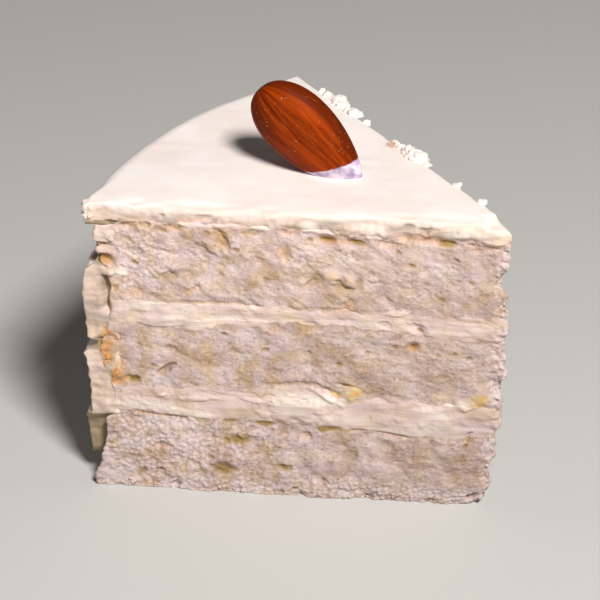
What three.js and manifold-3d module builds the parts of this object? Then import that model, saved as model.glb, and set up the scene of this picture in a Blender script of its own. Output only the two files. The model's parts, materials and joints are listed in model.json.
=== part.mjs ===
// A slice of three-layer chiffon cake: three sponges, two cream fillings, a coat of cream
// icing over the top and the curved outside, and one whole almond stuck in the icing.
//
// Millimetres, +Z up, standing on z = 0. The front cut faces -Y, the tip points to +X and
// the curved outside of the cake lies towards -X. "Reach" is the distance from the tip.

import * as THREE from 'three';
import { ParametricGeometry } from 'three/addons/geometries/ParametricGeometry.js';
import { ImprovedNoise } from 'three/addons/math/ImprovedNoise.js';
import { mergeVertices } from 'three/addons/utils/BufferGeometryUtils.js';
import Module from 'manifold-3d';

const { clamp, degToRad, lerp, smoothstep } = THREE.MathUtils;

// ---- Driving dimensions ----

const CAKE_RADIUS = 76;
const SLICE_ANGLE = degToRad( 53.2 );
const TIP = new THREE.Vector2( 38.7, - 30.3 );
const ICING_TOP = 58.4;
const SIDE_COAT = 4.2;
const SKIRT_RIM = 6.5;
const RIM_ROUNDING = 3.6;
const CUT_ROUNDING = 0.5;
const GAP = 0.3;
const SLIVER = 0.03;

// Heights of the seams between the layers, along the front cut at these steps of reach.
const SEAM_STEP = 15;
const SEAMS = {
	lowerCreamBase: [ 15.0, 14.8, 15.3, 15.9, 16.0, 17.6 ],
	lowerCreamTop: [ 21.2, 21.3, 21.5, 20.8, 22.0, 20.3 ],
	upperCreamBase: [ 34.2, 35.5, 37.2, 36.0, 34.3, 34.6 ],
	upperCreamTop: [ 39.3, 39.4, 39.4, 39.3, 39.3, 39.2 ],
	icingBase: [ 53.3, 53.3, 54.4, 55.0, 55.0, 55.0 ],
};

// How far the broken tip stands back from the sharp point, as [ height, distance ].
const TIP_RECESS = [
	[ 0, 6 ], [ 3, 3.2 ], [ 8, 3 ], [ 11, 2.1 ], [ 15, 2.4 ], [ 18, 1.3 ], [ 25, 1 ],
	[ 30, 0.6 ], [ 34.5, 1.5 ], [ 38, 0.4 ], [ 44, 0.7 ], [ 46, 1.9 ], [ 49, 1 ], [ 52, 0.1 ],
];

// The torn edge of the side icing at the front cut, as [ height, distance past the radius ]:
// a chipped stretch under the top, a whole stretch, a notch with a flake, and a low rim.
const TORN_COAT = [
	[ 6.5, - 1.6 ], [ 11, - 1.2 ], [ 15, - 0.3 ], [ 20, 0.2 ], [ 25.5, 0.3 ], [ 27.6, 1.2 ],
	[ 28.6, 0.6 ], [ 30.4, - 2.6 ], [ 32, 0.1 ], [ 36, 0.7 ], [ 41, 0.5 ], [ 45.6, 0.2 ],
	[ 47, - 1.9 ], [ 49.6, - 3 ], [ 51, - 1.6 ], [ 53.4, - 1.8 ], [ 54.5, - 3.2 ],
];

const ALMOND = {
	length: 25.6, width: 14, thickness: 8.3,
	bluntness: 0.71, fullness: 0.58,
	ridges: 9, ridgeDepth: 0.13,
};
const ALMOND_TIP = { reach: 28.7, depth: 16.9, height: 56.2 };
const ALMOND_TURN = { heading: degToRad( 178.5 ), lift: degToRad( 44.9 ), roll: degToRad( - 103.5 ) };

const COLUMNS = { cut: 30, arc: 26 };
const SPONGE_ROWS = 7;
const CREAM_ROWS = 4;

const FINISHES = {
	sponge: { color: 0xd9bdad, roughness: 0.95 },
	cream: { color: 0xebd6c4, roughness: 0.5 },
	icing: { color: 0xfef3ec, roughness: 0.55 },
	almond: { color: 0xa63e11, roughness: 0.6 },
};

// ---- Small helpers ----

const wasm = await Module();
wasm.setup();

const perlin = new ImprovedNoise();
const tipInward = new THREE.Vector2( - Math.cos( SLICE_ANGLE / 2 ), Math.sin( SLICE_ANGLE / 2 ) );

function ripple( x, y, z, size, seed ) {

	return perlin.noise( x / size + seed * 7.3, y / size + seed * 3.1, z / size + seed * 5.7 );

}

// Straight-line interpolation in a list of [ position, value ] pairs.
function readCurve( pairs, position ) {

	for ( let i = 1; i < pairs.length; i ++ ) {

		const [ start, from ] = pairs[ i - 1 ];
		const [ end, to ] = pairs[ i ];
		if ( position <= end ) return lerp( from, to, clamp( ( position - start ) / ( end - start ), 0, 1 ) );

	}

	return pairs.at( - 1 )[ 1 ];

}

// A closed mesh with its shared vertices merged and without the collapsed triangles of its poles.
function closedGeometry( geometry ) {

	const bare = geometry.clone();
	bare.deleteAttribute( 'normal' );
	bare.deleteAttribute( 'uv' );
	const merged = mergeVertices( bare, 1e-4 );
	const corners = merged.index.array;
	const kept = [];
	for ( let i = 0; i < corners.length; i += 3 ) {

		const triangle = [ corners[ i ], corners[ i + 1 ], corners[ i + 2 ] ];
		if ( new Set( triangle ).size === 3 ) kept.push( ...triangle );

	}

	merged.setIndex( kept );
	return merged;

}

function toManifold( geometry ) {

	const closed = closedGeometry( geometry );
	return new wasm.Manifold( new wasm.Mesh( {
		numProp: 3,
		vertProperties: closed.attributes.position.array,
		triVerts: new Uint32Array( closed.index.array ),
	} ) );

}

function fromManifold( manifold ) {

	const mesh = manifold.getMesh();
	const geometry = new THREE.BufferGeometry();
	const positions = new Float32Array( mesh.vertProperties );
	geometry.setAttribute( 'position', new THREE.BufferAttribute( positions, 3 ) );
	geometry.setIndex( Array.from( mesh.triVerts ) );
	return geometry;

}

// ---- Outline of the slice, seen from above ----

// Stations run from the tip along the front cut, round the arc and back along the back cut.
function outline( radius ) {

	const frontCorner = new THREE.Vector2( TIP.x - radius, TIP.y );
	const backCorner = new THREE.Vector2( - Math.cos( SLICE_ANGLE ), Math.sin( SLICE_ANGLE ) )
		.multiplyScalar( radius ).add( TIP );
	const frontOut = new THREE.Vector2( 0, - 1 );
	const backOut = new THREE.Vector2( Math.sin( SLICE_ANGLE ), Math.cos( SLICE_ANGLE ) );
	const arc = new THREE.ArcCurve( TIP.x, TIP.y, radius, Math.PI, Math.PI - SLICE_ANGLE, true );
	const radialOut = ( point ) => point.clone().sub( TIP ).normalize();
	const front = new THREE.LineCurve( TIP, frontCorner );
	const back = new THREE.LineCurve( backCorner, TIP );
	const sides = [
		{ side: 'front', curve: front, count: COLUMNS.cut, out: () => frontOut },
		{ side: 'arc', curve: arc, count: COLUMNS.arc, out: radialOut },
		{ side: 'back', curve: back, count: COLUMNS.cut, out: () => backOut },
	];
	const stations = [];
	for ( const { side, curve, count, out } of sides ) {

		for ( let i = 0; i < count; i ++ ) {

			const point = curve.getPoint( i / count );
			stations.push( { side, point, out: out( point ).clone(), reach: point.distanceTo( TIP ) } );

		}

	}

	const corners = [
		[ stations[ 0 ], tipInward.clone().negate() ],
		[ stations[ COLUMNS.cut ], frontOut.clone().add( radialOut( frontCorner ) ) ],
		[ stations[ COLUMNS.cut + COLUMNS.arc ], backOut.clone().add( radialOut( backCorner ) ) ],
	];
	corners.forEach( ( [ station, out ] ) => station.out.copy( out.normalize() ) );
	return stations;

}

// Moves a point away from the tip, so that the tip ends bluntly at the given distance.
function bluntTip( point, distance ) {

	const fromTip = point.clone().sub( TIP );
	if ( fromTip.dot( tipInward ) < 0.01 ) fromTip.copy( tipInward ).multiplyScalar( 0.01 );
	const reach = fromTip.length();
	return fromTip.multiplyScalar( Math.cbrt( reach ** 3 + distance ** 3 ) / reach ).add( TIP );

}

// Height of a seam: the measured line along the front cut, drifting as it runs to the back cut.
function seamHeight( name, point ) {

	if ( name === 'floor' ) return 0;
	const heights = SEAMS[ name ].map( ( height, i ) => [ i * SEAM_STEP, height ] );
	const reach = point.distanceTo( TIP );
	const angle = Math.atan2( point.y - TIP.y, TIP.x - point.x );
	const turned = smoothstep( angle / SLICE_ANGLE, 0.05, 0.5 );
	const drift = turned * ripple( point.x, point.y, SEAMS[ name ][ 0 ], 19, 1 );
	return readCurve( heights, reach ) + 1.1 * drift;

}

// A skin over rings of equally many points, from the highest ring to the lowest.
function ringSkin( rings ) {

	const columns = rings[ 0 ].length;
	const rows = rings.length - 1;
	const surface = ( u, v, target ) => {

		target.copy( rings[ Math.round( v * rows ) ][ Math.round( u * columns ) % columns ] );

	};

	return closedGeometry( new ParametricGeometry( surface, columns, rows ) );

}

// ---- Sponges and fillings ----

const LAYER_RADIUS = CAKE_RADIUS - SIDE_COAT - GAP;
const layerOutline = outline( LAYER_RADIUS );
const middle = layerOutline.reduce( ( sum, { point } ) => sum.add( point ), new THREE.Vector2() )
	.divideScalar( layerOutline.length );
const INNER_RING = 0.55;

function seamRing( stations, scale, name, lift ) {

	return stations.map( ( { point } ) => {

		const inner = middle.clone().lerp( point, scale );
		return new THREE.Vector3( inner.x, inner.y, seamHeight( name, inner ) + lift );

	} );

}

// One layer between two seams. push( station, share, z ) moves its wall out of the cuts,
// and spread( z ) widens its outer rim.
function layer( lower, upper, rows, push, spread = () => 0 ) {

	const floorLift = lower === 'floor' ? 0 : GAP / 2;
	const rings = [ 0, INNER_RING ].map( ( scale ) => seamRing( layerOutline, scale, upper, - GAP / 2 ) );
	for ( let row = 0; row <= rows; row ++ ) {

		const share = 1 - row / rows;
		rings.push( layerOutline.map( ( station ) => {

			const flat = lerp( seamHeight( lower, station.point ), seamHeight( upper, station.point ), share );
			const out = station.out.clone().multiplyScalar( push( station, share, flat ) );
			const wider = spread( flat ) * ( station.reach / LAYER_RADIUS ) ** 10;
			const radial = station.point.clone().sub( TIP ).normalize().multiplyScalar( wider );
			const wall = station.point.clone().add( out ).add( radial );
			const point = bluntTip( wall, readCurve( TIP_RECESS, flat ) );
			const bottom = seamHeight( lower, point ) + floorLift;
			const top = seamHeight( upper, point ) - GAP / 2;
			return new THREE.Vector3( point.x, point.y, lerp( bottom, top, share ) );

		} ) );

	}

	rings.push( ...[ INNER_RING, 0 ].map( ( scale ) => seamRing( layerOutline, scale, lower, floorLift ) ) );
	return ringSkin( rings );

}

// Pits and lumps of the front cut, as reach, height, radius and rise above the cut.
const FRONT_MARKS = [
	{ reach: 51, height: 5.5, radius: 2.6, rise: - 1.3 },
	{ reach: 49, height: 11.5, radius: 2.6, rise: - 1 },
	{ reach: 63, height: 9, radius: 2.4, rise: - 1 },
	{ reach: 37, height: 13, radius: 2.2, rise: - 0.8 },
	{ reach: 62, height: 25, radius: 2.6, rise: - 1.2 },
	{ reach: 17.5, height: 32.5, radius: 2.4, rise: - 1.3 },
	{ reach: 31, height: 46.5, radius: 3, rise: 0.9 },
	{ reach: 35.5, height: 44, radius: 2.4, rise: - 1.1 },
	{ reach: 51, height: 51.5, radius: 2.8, rise: - 1 },
	{ reach: 28, height: 22.5, radius: 2, rise: 0.8 },
	{ reach: 4.5, height: 23, radius: 2, rise: 0.6 },
];

function frontMarks( station, z ) {

	if ( station.side !== 'front' ) return 0;
	return FRONT_MARKS.reduce( ( rise, mark ) => {

		const away = Math.hypot( station.reach - mark.reach, z - mark.height ) / mark.radius;
		return rise + mark.rise * Math.exp( - away * away );

	}, 0 );

}

const CRAG_DEPTH = 0.75;
const CREAM_FOLD = 0.5;
const SMEAR_RISE = 1;
const BASE_FLARE = 3.1;

// Torn crumb: crags on both cuts and a smooth wall under the side icing.
function spongeWall( seed ) {

	return ( station, share, z ) => {

		const { x, y } = station.point;
		if ( station.side === 'arc' ) return - 0.3 * Math.abs( ripple( x, y, z, 6, seed ) );
		const underCoat = smoothstep( station.reach, LAYER_RADIUS - 4, LAYER_RADIUS );
		const crags = ripple( x, y, z, 5.5, seed ) + 0.6 * ripple( x, y, z, 3.1, seed + 4 );
		return CRAG_DEPTH * crags * ( 1 - underCoat ) + frontMarks( station, z );

	};

}

// The bottom sponge spreads outwards under the lower rim of the side icing.
function baseSpread( z ) {

	return BASE_FLARE * ( 1 - smoothstep( z, 2.2, 5 ) );

}

// Cream swells out of the cut between the sponges and is smeared along it by the knife.
function creamWall( seed, smear ) {

	return ( station, share, z ) => {

		const { x, y } = station.point;
		const belly = Math.sin( Math.PI * share );
		if ( station.side === 'arc' ) return 0;
		const underCoat = smoothstep( station.reach, LAYER_RADIUS - 4, LAYER_RADIUS );
		const folds = CREAM_FOLD * ripple( x, y, z, 7, seed ) + 0.25 * belly;
		const along = smoothstep( station.reach, 5, 11 ) * ( 1 - smoothstep( station.reach, 40, 48 ) );
		const ridge = station.side === 'front' ? smear * along * belly : 0;
		return ( folds + ridge ) * ( 1 - underCoat ) + frontMarks( station, z );

	};

}

// ---- Icing ----

const icingOutline = outline( CAKE_RADIUS );
const TOP_RINGS = [ 0, 0.35, 0.65, 0.88 ];
const COAT_HEIGHTS = TORN_COAT.map( ( [ height ] ) => height ).reverse();
const TORN_LENGTH = 6;
const TIP_STEP = { reach: 5, drop: 0.7 };
const SPREAD_MARKS = 0.3;

// The top is spread nearly flat, with shallow waves, and is broken down a step at the tip.
function icingHeight( point ) {

	const waves = SPREAD_MARKS * ripple( point.x, point.y, 0, 15, 2 );
	const broken = 1 - smoothstep( point.distanceTo( TIP ), TIP_STEP.reach - 1, TIP_STEP.reach + 1 );
	return ICING_TOP + waves - TIP_STEP.drop * broken;

}

// How far a station of the coat stands past the plain radius at a height.
function coatOffset( station, z ) {

	const { x, y } = station.point;
	const torn = readCurve( TORN_COAT, z );
	if ( station.side !== 'arc' ) return torn * ( station.reach / CAKE_RADIUS ) ** 8;
	const fromCut = ( Math.atan2( y - TIP.y, TIP.x - x ) * CAKE_RADIUS );
	const toBack = SLICE_ANGLE * CAKE_RADIUS - fromCut;
	const nearCut = Math.exp( - ( ( fromCut / TORN_LENGTH ) ** 2 ) );
	const nearBack = Math.exp( - ( ( toBack / TORN_LENGTH ) ** 2 ) );
	const marks = SPREAD_MARKS * ripple( x, y, z * 1.8, 12, 3 );
	return torn * ( nearCut + nearBack ) + marks * ( 1 - nearCut - nearBack );

}

// Low on the front corner the side icing stands back from the cut.
function coatSetBack( station, z ) {

	if ( station.side === 'arc' && station.point.y > TIP.y + 0.1 ) return 0;
	return - 2.4 * ( 1 - smoothstep( z, 13, 16 ) ) * smoothstep( station.reach, 64, 70 );

}

function icingBlock() {

	const rings = TOP_RINGS.map( ( scale ) => icingOutline.map( ( { point } ) => {

		const inner = middle.clone().lerp( point, scale );
		return new THREE.Vector3( inner.x, inner.y, icingHeight( inner ) );

	} ) );

	// A rounded edge: wide over the arc and small along the cuts.
	for ( const [ inset, drop ] of [ [ 1, 0 ], [ 0.3, 0.3 ], [ 0, 1 ] ] ) {

		rings.push( icingOutline.map( ( station ) => {

			const rounding = station.side === 'arc' ? RIM_ROUNDING : CUT_ROUNDING;
			const inward = station.out.clone().multiplyScalar( - inset * rounding );
			const point = bluntTip( station.point.clone().add( inward ), 0.2 );
			return new THREE.Vector3( point.x, point.y, icingHeight( point ) - drop * rounding );

		} ) );

	}

	for ( const z of COAT_HEIGHTS ) {

		rings.push( icingOutline.map( ( station ) => {

			const radial = station.point.clone().sub( TIP ).normalize().multiplyScalar( coatOffset( station, z ) );
			const back = station.out.clone().multiplyScalar( coatSetBack( station, z ) );
			const point = bluntTip( station.point.clone().add( radial ).add( back ), 0.2 );
			const rim = z === SKIRT_RIM ? 0.8 * ripple( point.x, point.y, 0, 9, 5 ) : 0;
			return new THREE.Vector3( point.x, point.y, z + rim );

		} ) );

	}

	rings.push( icingOutline.map( () => new THREE.Vector3( middle.x, middle.y, SKIRT_RIM ) ) );
	return toManifold( ringSkin( rings ) );

}

// What the icing is spread over: the layers, widened past both cuts.
function insideOfIcing() {

	const PAST_CUT = 6;
	const coreOutline = outline( CAKE_RADIUS - SIDE_COAT );
	const beyond = ( height ) => coreOutline.map( ( station, index ) => {

		const onArc = index > COLUMNS.cut && index < COLUMNS.cut + COLUMNS.arc;
		const past = onArc ? 0 : PAST_CUT;
		const point = station.point.clone().add( station.out.clone().multiplyScalar( past ) );
		const z = height ?? seamHeight( 'icingBase', station.point ) + GAP / 2;
		return new THREE.Vector3( point.x, point.y, z );

	} );

	const rings = [
		...[ 0, INNER_RING, 1 ].map( ( scale ) => seamRing( layerOutline, scale, 'icingBase', GAP / 2 ) ),
		beyond( null ),
		beyond( - PAST_CUT ),
		layerOutline.map( () => new THREE.Vector3( middle.x, middle.y, - PAST_CUT ) ),
	];
	return toManifold( ringSkin( rings ) );

}

// Crumbs and lumps of icing that the knife has left along the upper edge of the back cut,
// as distance from the tip and radius.
const BACK_LUMPS = [
	[ 66.5, 1.7 ], [ 63.5, 1.5 ], [ 60.6, 1.9 ], [ 57.4, 1.8 ], [ 54, 1.6 ], [ 49.6, 1.2 ],
	[ 35.6, 1.7 ], [ 33, 2.1 ], [ 30, 1.9 ], [ 18.8, 1.1 ], [ 10.6, 1 ],
];

function backLump( reach, radius, index ) {

	const ball = new THREE.IcosahedronGeometry( radius, 1 );
	const position = ball.attributes.position;
	const corner = new THREE.Vector3();
	for ( let i = 0; i < position.count; i ++ ) {

		corner.fromBufferAttribute( position, i );
		const rough = 1 + 0.6 * ripple( corner.x, corner.y, corner.z, 1.2, index );
		position.setXYZ( i, corner.x * rough, corner.y * rough * 1.2, corner.z * rough * 0.75 );

	}

	const alongBack = new THREE.Vector2( - Math.cos( SLICE_ANGLE ), Math.sin( SLICE_ANGLE ) );
	const place = alongBack.multiplyScalar( reach ).add( TIP );
	const outward = 0.35 * radius;
	ball.translate(
		place.x + outward * Math.sin( SLICE_ANGLE ),
		place.y + outward * Math.cos( SLICE_ANGLE ),
		ICING_TOP - 0.9,
	);
	return toManifold( ball );

}

// ---- Almond ----

// Along X from the point of the nut to its blunt end, Y its width and Z its thickness.
function almondGeometry( swell ) {

	const around = 27;
	const along = 14;
	const halfWidth = ( t ) => Math.sin( Math.PI * t ** ALMOND.bluntness ) ** ALMOND.fullness;
	const widest = Math.max( ...Array.from( { length: 200 }, ( _, i ) => halfWidth( i / 200 ) ) );
	const surface = ( u, v, target ) => {

		const t = ( 1 - Math.cos( Math.PI * v ) ) / 2;
		const girth = v === 0 || v === 1 ? 0 : halfWidth( t ) / widest;
		const turn = - 2 * Math.PI * ( Math.round( u * around ) % around ) / around;
		const ridge = ALMOND.ridgeDepth * Math.cos( ALMOND.ridges * turn ) * girth;
		target.set(
			( 1 - t ) * ( ALMOND.length + 2 * swell ) - swell,
			Math.cos( turn ) * ( girth * ( ALMOND.width / 2 + swell ) + ridge ),
			Math.sin( turn ) * ( girth * ( ALMOND.thickness / 2 + swell ) + ridge ),
		);

	};

	return closedGeometry( new ParametricGeometry( surface, around, along ) );

}

function placeAlmond( object ) {

	const { reach, depth, height } = ALMOND_TIP;
	const { heading, lift, roll } = ALMOND_TURN;
	object.position.set( TIP.x - reach, TIP.y + depth, height );
	object.rotation.set( roll, - lift, heading, 'ZYX' );
	object.updateMatrix();

}

// ---- The slice ----

function icingGeometry() {

	let coat = icingBlock().subtract( insideOfIcing() );
	BACK_LUMPS.forEach( ( [ reach, radius ], index ) => {

		coat = coat.add( backLump( reach, radius, index ) );

	} );
	const pocket = new THREE.Object3D();
	placeAlmond( pocket );
	coat = coat.subtract( toManifold( almondGeometry( GAP ).applyMatrix4( pocket.matrix ) ) );
	return fromManifold( coat.simplify( SLIVER ) );

}

function piece( name, geometry, { color, roughness } ) {

	const mesh = new THREE.Mesh( geometry, new THREE.MeshStandardMaterial( { color, roughness, metalness: 0 } ) );
	mesh.name = name;
	return mesh;

}

const sponges = {
	bottom: layer( 'floor', 'lowerCreamBase', SPONGE_ROWS, spongeWall( 1 ), baseSpread ),
	middle: layer( 'lowerCreamTop', 'upperCreamBase', SPONGE_ROWS, spongeWall( 2 ) ),
	top: layer( 'upperCreamTop', 'icingBase', SPONGE_ROWS, spongeWall( 3 ) ),
};
const fillings = {
	lower: layer( 'lowerCreamBase', 'lowerCreamTop', CREAM_ROWS, creamWall( 2, SMEAR_RISE ) ),
	upper: layer( 'upperCreamBase', 'upperCreamTop', CREAM_ROWS, creamWall( 3, 0 ) ),
};

const slice = new THREE.Group();
for ( const [ place, geometry ] of Object.entries( sponges ) ) {

	slice.add( piece( `sponge_${ place }`, geometry, FINISHES.sponge ) );

}

for ( const [ place, geometry ] of Object.entries( fillings ) ) {

	slice.add( piece( `filling_${ place }`, geometry, FINISHES.cream ) );

}

slice.add( piece( 'icing', icingGeometry(), FINISHES.icing ) );

const almond = piece( 'almond', almondGeometry( 0 ), FINISHES.almond );
placeAlmond( almond );
slice.add( almond );

export default slice;
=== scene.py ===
"""Looks of one slice of three-layer chiffon cake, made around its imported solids.

Sizes in the classes below are real millimetres, and meshes are written in metres.
"Reach" is the distance from the tip of the wedge, heights are above the underside, and
"out" is the level direction that points out of a cut or out of the curved outside.
"""

from __future__ import annotations

import json
import logging
import math
from dataclasses import dataclass
from enum import Enum
from typing import Any, Sequence

import bmesh
import bpy
import numpy as np
from bpy.types import Material, Mesh, NodeTree, Object
from mathutils import Euler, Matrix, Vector
from mathutils.bvhtree import BVHTree

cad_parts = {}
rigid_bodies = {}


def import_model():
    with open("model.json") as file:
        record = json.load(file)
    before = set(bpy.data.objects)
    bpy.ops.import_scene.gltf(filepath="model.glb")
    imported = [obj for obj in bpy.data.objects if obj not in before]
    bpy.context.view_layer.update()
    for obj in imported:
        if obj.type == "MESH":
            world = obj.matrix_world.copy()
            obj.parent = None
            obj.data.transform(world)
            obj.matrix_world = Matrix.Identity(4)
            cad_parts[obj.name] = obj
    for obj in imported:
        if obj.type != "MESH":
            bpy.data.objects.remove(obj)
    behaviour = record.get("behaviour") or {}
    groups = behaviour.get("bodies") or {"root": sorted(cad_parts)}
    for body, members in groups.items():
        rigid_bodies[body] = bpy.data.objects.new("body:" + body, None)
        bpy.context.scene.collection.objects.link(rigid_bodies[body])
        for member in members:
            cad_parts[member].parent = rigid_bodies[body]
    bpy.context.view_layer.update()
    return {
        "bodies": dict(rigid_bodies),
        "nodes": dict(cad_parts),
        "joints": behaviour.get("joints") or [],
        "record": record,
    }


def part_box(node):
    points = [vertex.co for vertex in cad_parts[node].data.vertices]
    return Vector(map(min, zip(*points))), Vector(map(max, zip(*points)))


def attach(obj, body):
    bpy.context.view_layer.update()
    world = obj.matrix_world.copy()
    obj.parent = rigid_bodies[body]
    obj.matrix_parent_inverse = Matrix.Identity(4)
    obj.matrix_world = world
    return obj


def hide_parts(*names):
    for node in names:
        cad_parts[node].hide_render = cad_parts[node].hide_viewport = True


Array = np.ndarray
LOG = logging.getLogger("chiffon_cake")
MM = 0.001
BODY = "root"
PHOTO_WIDTH = 600
LAYERS = ("sponge_bottom", "filling_lower", "sponge_middle", "filling_upper", "sponge_top")
# Masks for the walls: the pit mask is painted shade in pits and hollows, the toast mask is browned crust and
# painted warm shade in grooves, and the gleam mask is whiter cream with a painted highlight.
WALL_MASKS = ("cut", "pit", "toast", "cream", "fluff", "gleam", "fruit")


# ---- Numbers and noise ----


def smoothstep(value: Array | float, low: float, high: float) -> Array:
    """Returns a smooth rise from 0 at low to 1 at high."""
    share = np.clip((np.asarray(value, float) - low) / (high - low), 0, 1)
    return share * share * (3 - 2 * share)


def falling(value: Array | float, low: float, high: float) -> Array:
    """Returns a smooth fall from 1 at low to 0 at high."""
    return 1 - smoothstep(value, low, high)


def between(value: Array, low: float, high: float, soft: float) -> Array:
    """Returns 1 between low and high and 0 outside, with edges that are soft to both sides."""
    return smoothstep(value, low - soft, low + soft) * falling(value, high - soft, high + soft)


def soft_noise(points: Array, size: float | Sequence[float], seed: int) -> Array:
    """Smooth noise between -1 and 1.

    Args:
        points: Places in millimetres, one row each.
        size: Width of a bump in millimetres, or one width for each axis.
        seed: Which of the endless patterns to read.

    Returns:
        One value for each point.
    """
    scaled = np.asarray(points, float) / np.asarray(size, float) + 17.13 * seed
    cell = np.floor(scaled).astype(np.int64)
    part = scaled - cell
    part = part * part * (3 - 2 * part)
    total = np.zeros(len(scaled))
    for corner in np.ndindex(2, 2, 2):
        x, y, z = (cell + corner).T
        mixed = (x * 73856093) ^ (y * 19349663) ^ (z * 83492791)
        mixed = ((mixed ^ (mixed >> 13)) * 1274126177) & 0x7FFFFFFF
        value = ((mixed ^ (mixed >> 15)) & 0xFFFF) / 32767.5 - 1
        total += value * np.prod(np.where(corner, part, 1 - part), axis=1)
    return total


def layered_noise(points: Array, size: float, seed: int, layers: int = 3) -> Array:
    """Noise with finer noise on it, each layer half as wide and half as strong."""
    return sum(soft_noise(points, size / 2**k, seed + 7 * k) / 2**k for k in range(layers))


# ---- Form of the slice ----


@dataclass(frozen=True)
class SliceForm:
    """Sizes of the slice in millimetres; they repeat those of the solids."""

    radius: float = 76.0
    angle: float = math.radians(53.2)
    tip: tuple[float, float] = (38.7, -30.3)
    top: float = 58.4
    side_coat: float = 4.2
    skirt_rim: float = 6.5
    rim_rounding: float = 3.6
    cut_rounding: float = 1.0
    layer_gap: float = 0.3
    tip_rounding: float = 0.7
    recess_heights: tuple[float, ...] = (0, 3, 8, 11, 15, 18, 25, 30, 34.5, 38, 44, 46, 49, 52)
    recesses: tuple[float, ...] = (6, 3.2, 3, 2.1, 2.4, 1.3, 1, 0.6, 1.5, 0.4, 0.7, 1.9, 1, 0.1)

    @property
    def layer_radius(self) -> float:
        """Radius of the sponges and fillings inside the side icing."""
        return self.radius - self.side_coat - self.layer_gap

    @property
    def inward(self) -> Array:
        """Level direction from the tip along the middle of the slice."""
        return np.array([-math.cos(self.angle / 2), math.sin(self.angle / 2)])

    @property
    def middle(self) -> Array:
        """Level place in the middle of the slice."""
        return np.array(self.tip) + self.inward * 0.62 * self.radius

    @property
    def back_along(self) -> Array:
        """Level direction from the tip along the back cut."""
        return np.array([-math.cos(self.angle), math.sin(self.angle)])

    @property
    def back_out(self) -> Array:
        """Level direction out of the back cut."""
        return np.array([math.sin(self.angle), math.cos(self.angle)])

    def tip_recess(self, height: Array) -> Array:
        """How far the broken tip stands back from the sharp point at each height."""
        recess = np.interp(height, self.recess_heights, self.recesses)
        return np.hypot(recess, self.tip_rounding)

    def reach_of(self, points: Array) -> Array:
        """Level distances of points from the tip."""
        return np.linalg.norm(points[:, :2] - np.array(self.tip), axis=1)

    def photo_place(self, reach: float, depth: float, height: float) -> Array:
        """Point at a reach along the front cut, a depth behind it and a height."""
        return np.array([self.tip[0] - reach, self.tip[1] + depth, height])


class Side(Enum):
    """Sides of the slice seen from above."""

    FRONT = 0
    ARC = 1
    BACK = 2


class Perimeter:
    """Stations from the tip along the front cut, over the arc and back along the back cut."""

    def __init__(self, form: SliceForm, radius: float, cut_step: float, arc_step: float) -> None:
        """Spaces the stations.

        Args:
            form: Sizes of the slice.
            radius: Radius of the outline that the stations follow.
            cut_step: Spacing along the cuts.
            arc_step: Spacing along the arc.
        """
        self.form = form
        self.radius = radius
        cut_count = round(radius / cut_step)
        arc_count = round(radius * form.angle / arc_step)
        cut_reach = (np.arange(cut_count) + 1) * radius / cut_count
        arc_turn = form.angle * np.arange(1, arc_count) / arc_count
        on_arc = np.ones(arc_count - 1)
        on_cut = np.ones(cut_count)
        self.reach = np.r_[cut_reach, radius * on_arc, cut_reach[::-1]]
        self.turn = np.r_[0 * on_cut, arc_turn, form.angle * on_cut]
        self.side = np.r_[
            Side.FRONT.value * on_cut, Side.ARC.value * on_arc, Side.BACK.value * on_cut
        ].astype(int)
        self.radial = np.c_[-np.cos(self.turn), np.sin(self.turn)]
        self.out = self._outward()

    def _outward(self) -> Array:
        """Finds the level unit vectors that point out of the slice, turning round the blunt tip.

        Returns:
            One row for each station.
        """
        blunt = np.full(len(self.reach), 1.5)
        step = 0.01
        along = self.place(blunt, self.reach + step) - self.place(blunt, self.reach)
        along /= np.linalg.norm(along, axis=1)[:, None]
        turned = np.where(self.side == Side.BACK.value, -1, 1)[:, None]
        out = turned * np.c_[-along[:, 1], along[:, 0]]
        arc = self.side == Side.ARC.value
        out[arc] = self.radial[arc]
        for corner in (np.argmax(arc) - 1, len(arc) - np.argmax(arc[::-1])):
            mean = out[corner] + self.radial[corner]
            out[corner] = mean / np.linalg.norm(mean)
        return out

    def place(self, recess: Array, reach: Array | None = None) -> Array:
        """Places the stations.

        Args:
            recess: For each station, how far the tip stands back at its height.
            reach: Distances from the tip in place of the stations' own.

        Returns:
            Level places in millimetres, one row for each station.
        """
        reach = self.reach if reach is None else reach
        half = self.form.angle / 2
        inward = self.form.inward
        across = np.array([-math.sin(half), -math.cos(half)])
        sign = np.where(self.side == Side.BACK.value, -1, 1)
        deep = np.hypot(reach * math.cos(half), recess)
        wedge = np.outer(deep, inward) + np.outer(sign * reach * math.sin(half), across)
        arc = (self.side == Side.ARC.value)[:, None]
        return np.array(self.form.tip) + np.where(arc, self.radial * reach[:, None], wedge)


class SeamProbe:
    """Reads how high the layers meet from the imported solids."""

    def __init__(self, frame: dict[str, Any], form: SliceForm, perimeter: Perimeter) -> None:
        """Prepares the places to probe, a little inside the craggy walls.

        Args:
            form: Sizes of the slice.
            perimeter: Stations of the layers.
        """
        self.nodes = frame["nodes"]
        inset = 2.4
        nearest = 9.0
        flat = np.zeros(len(perimeter.reach))
        inside = perimeter.place(flat, np.clip(perimeter.reach, nearest, form.layer_radius - inset))
        self.places = inside - inset * perimeter.out

    def top_of(self, node: str) -> Array:
        """Probes a layer's upper face.

        Args:
            node: Name of the layer.

        Returns:
            Its heights in millimetres, one for each station.
        """
        mesh = self.nodes[node].data
        corners = [vertex.co for vertex in mesh.vertices]
        tree = BVHTree.FromPolygons(corners, [tuple(face.vertices) for face in mesh.polygons])
        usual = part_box(node)[1].z
        heights = []
        for x, y in self.places * MM:
            hit = tree.ray_cast(Vector((x, y, 1.0)), Vector((0, 0, -1)))[0]
            heights.append((hit.z if hit else usual) / MM)
        return np.array(heights)


# ---- Meshes ----


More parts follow.
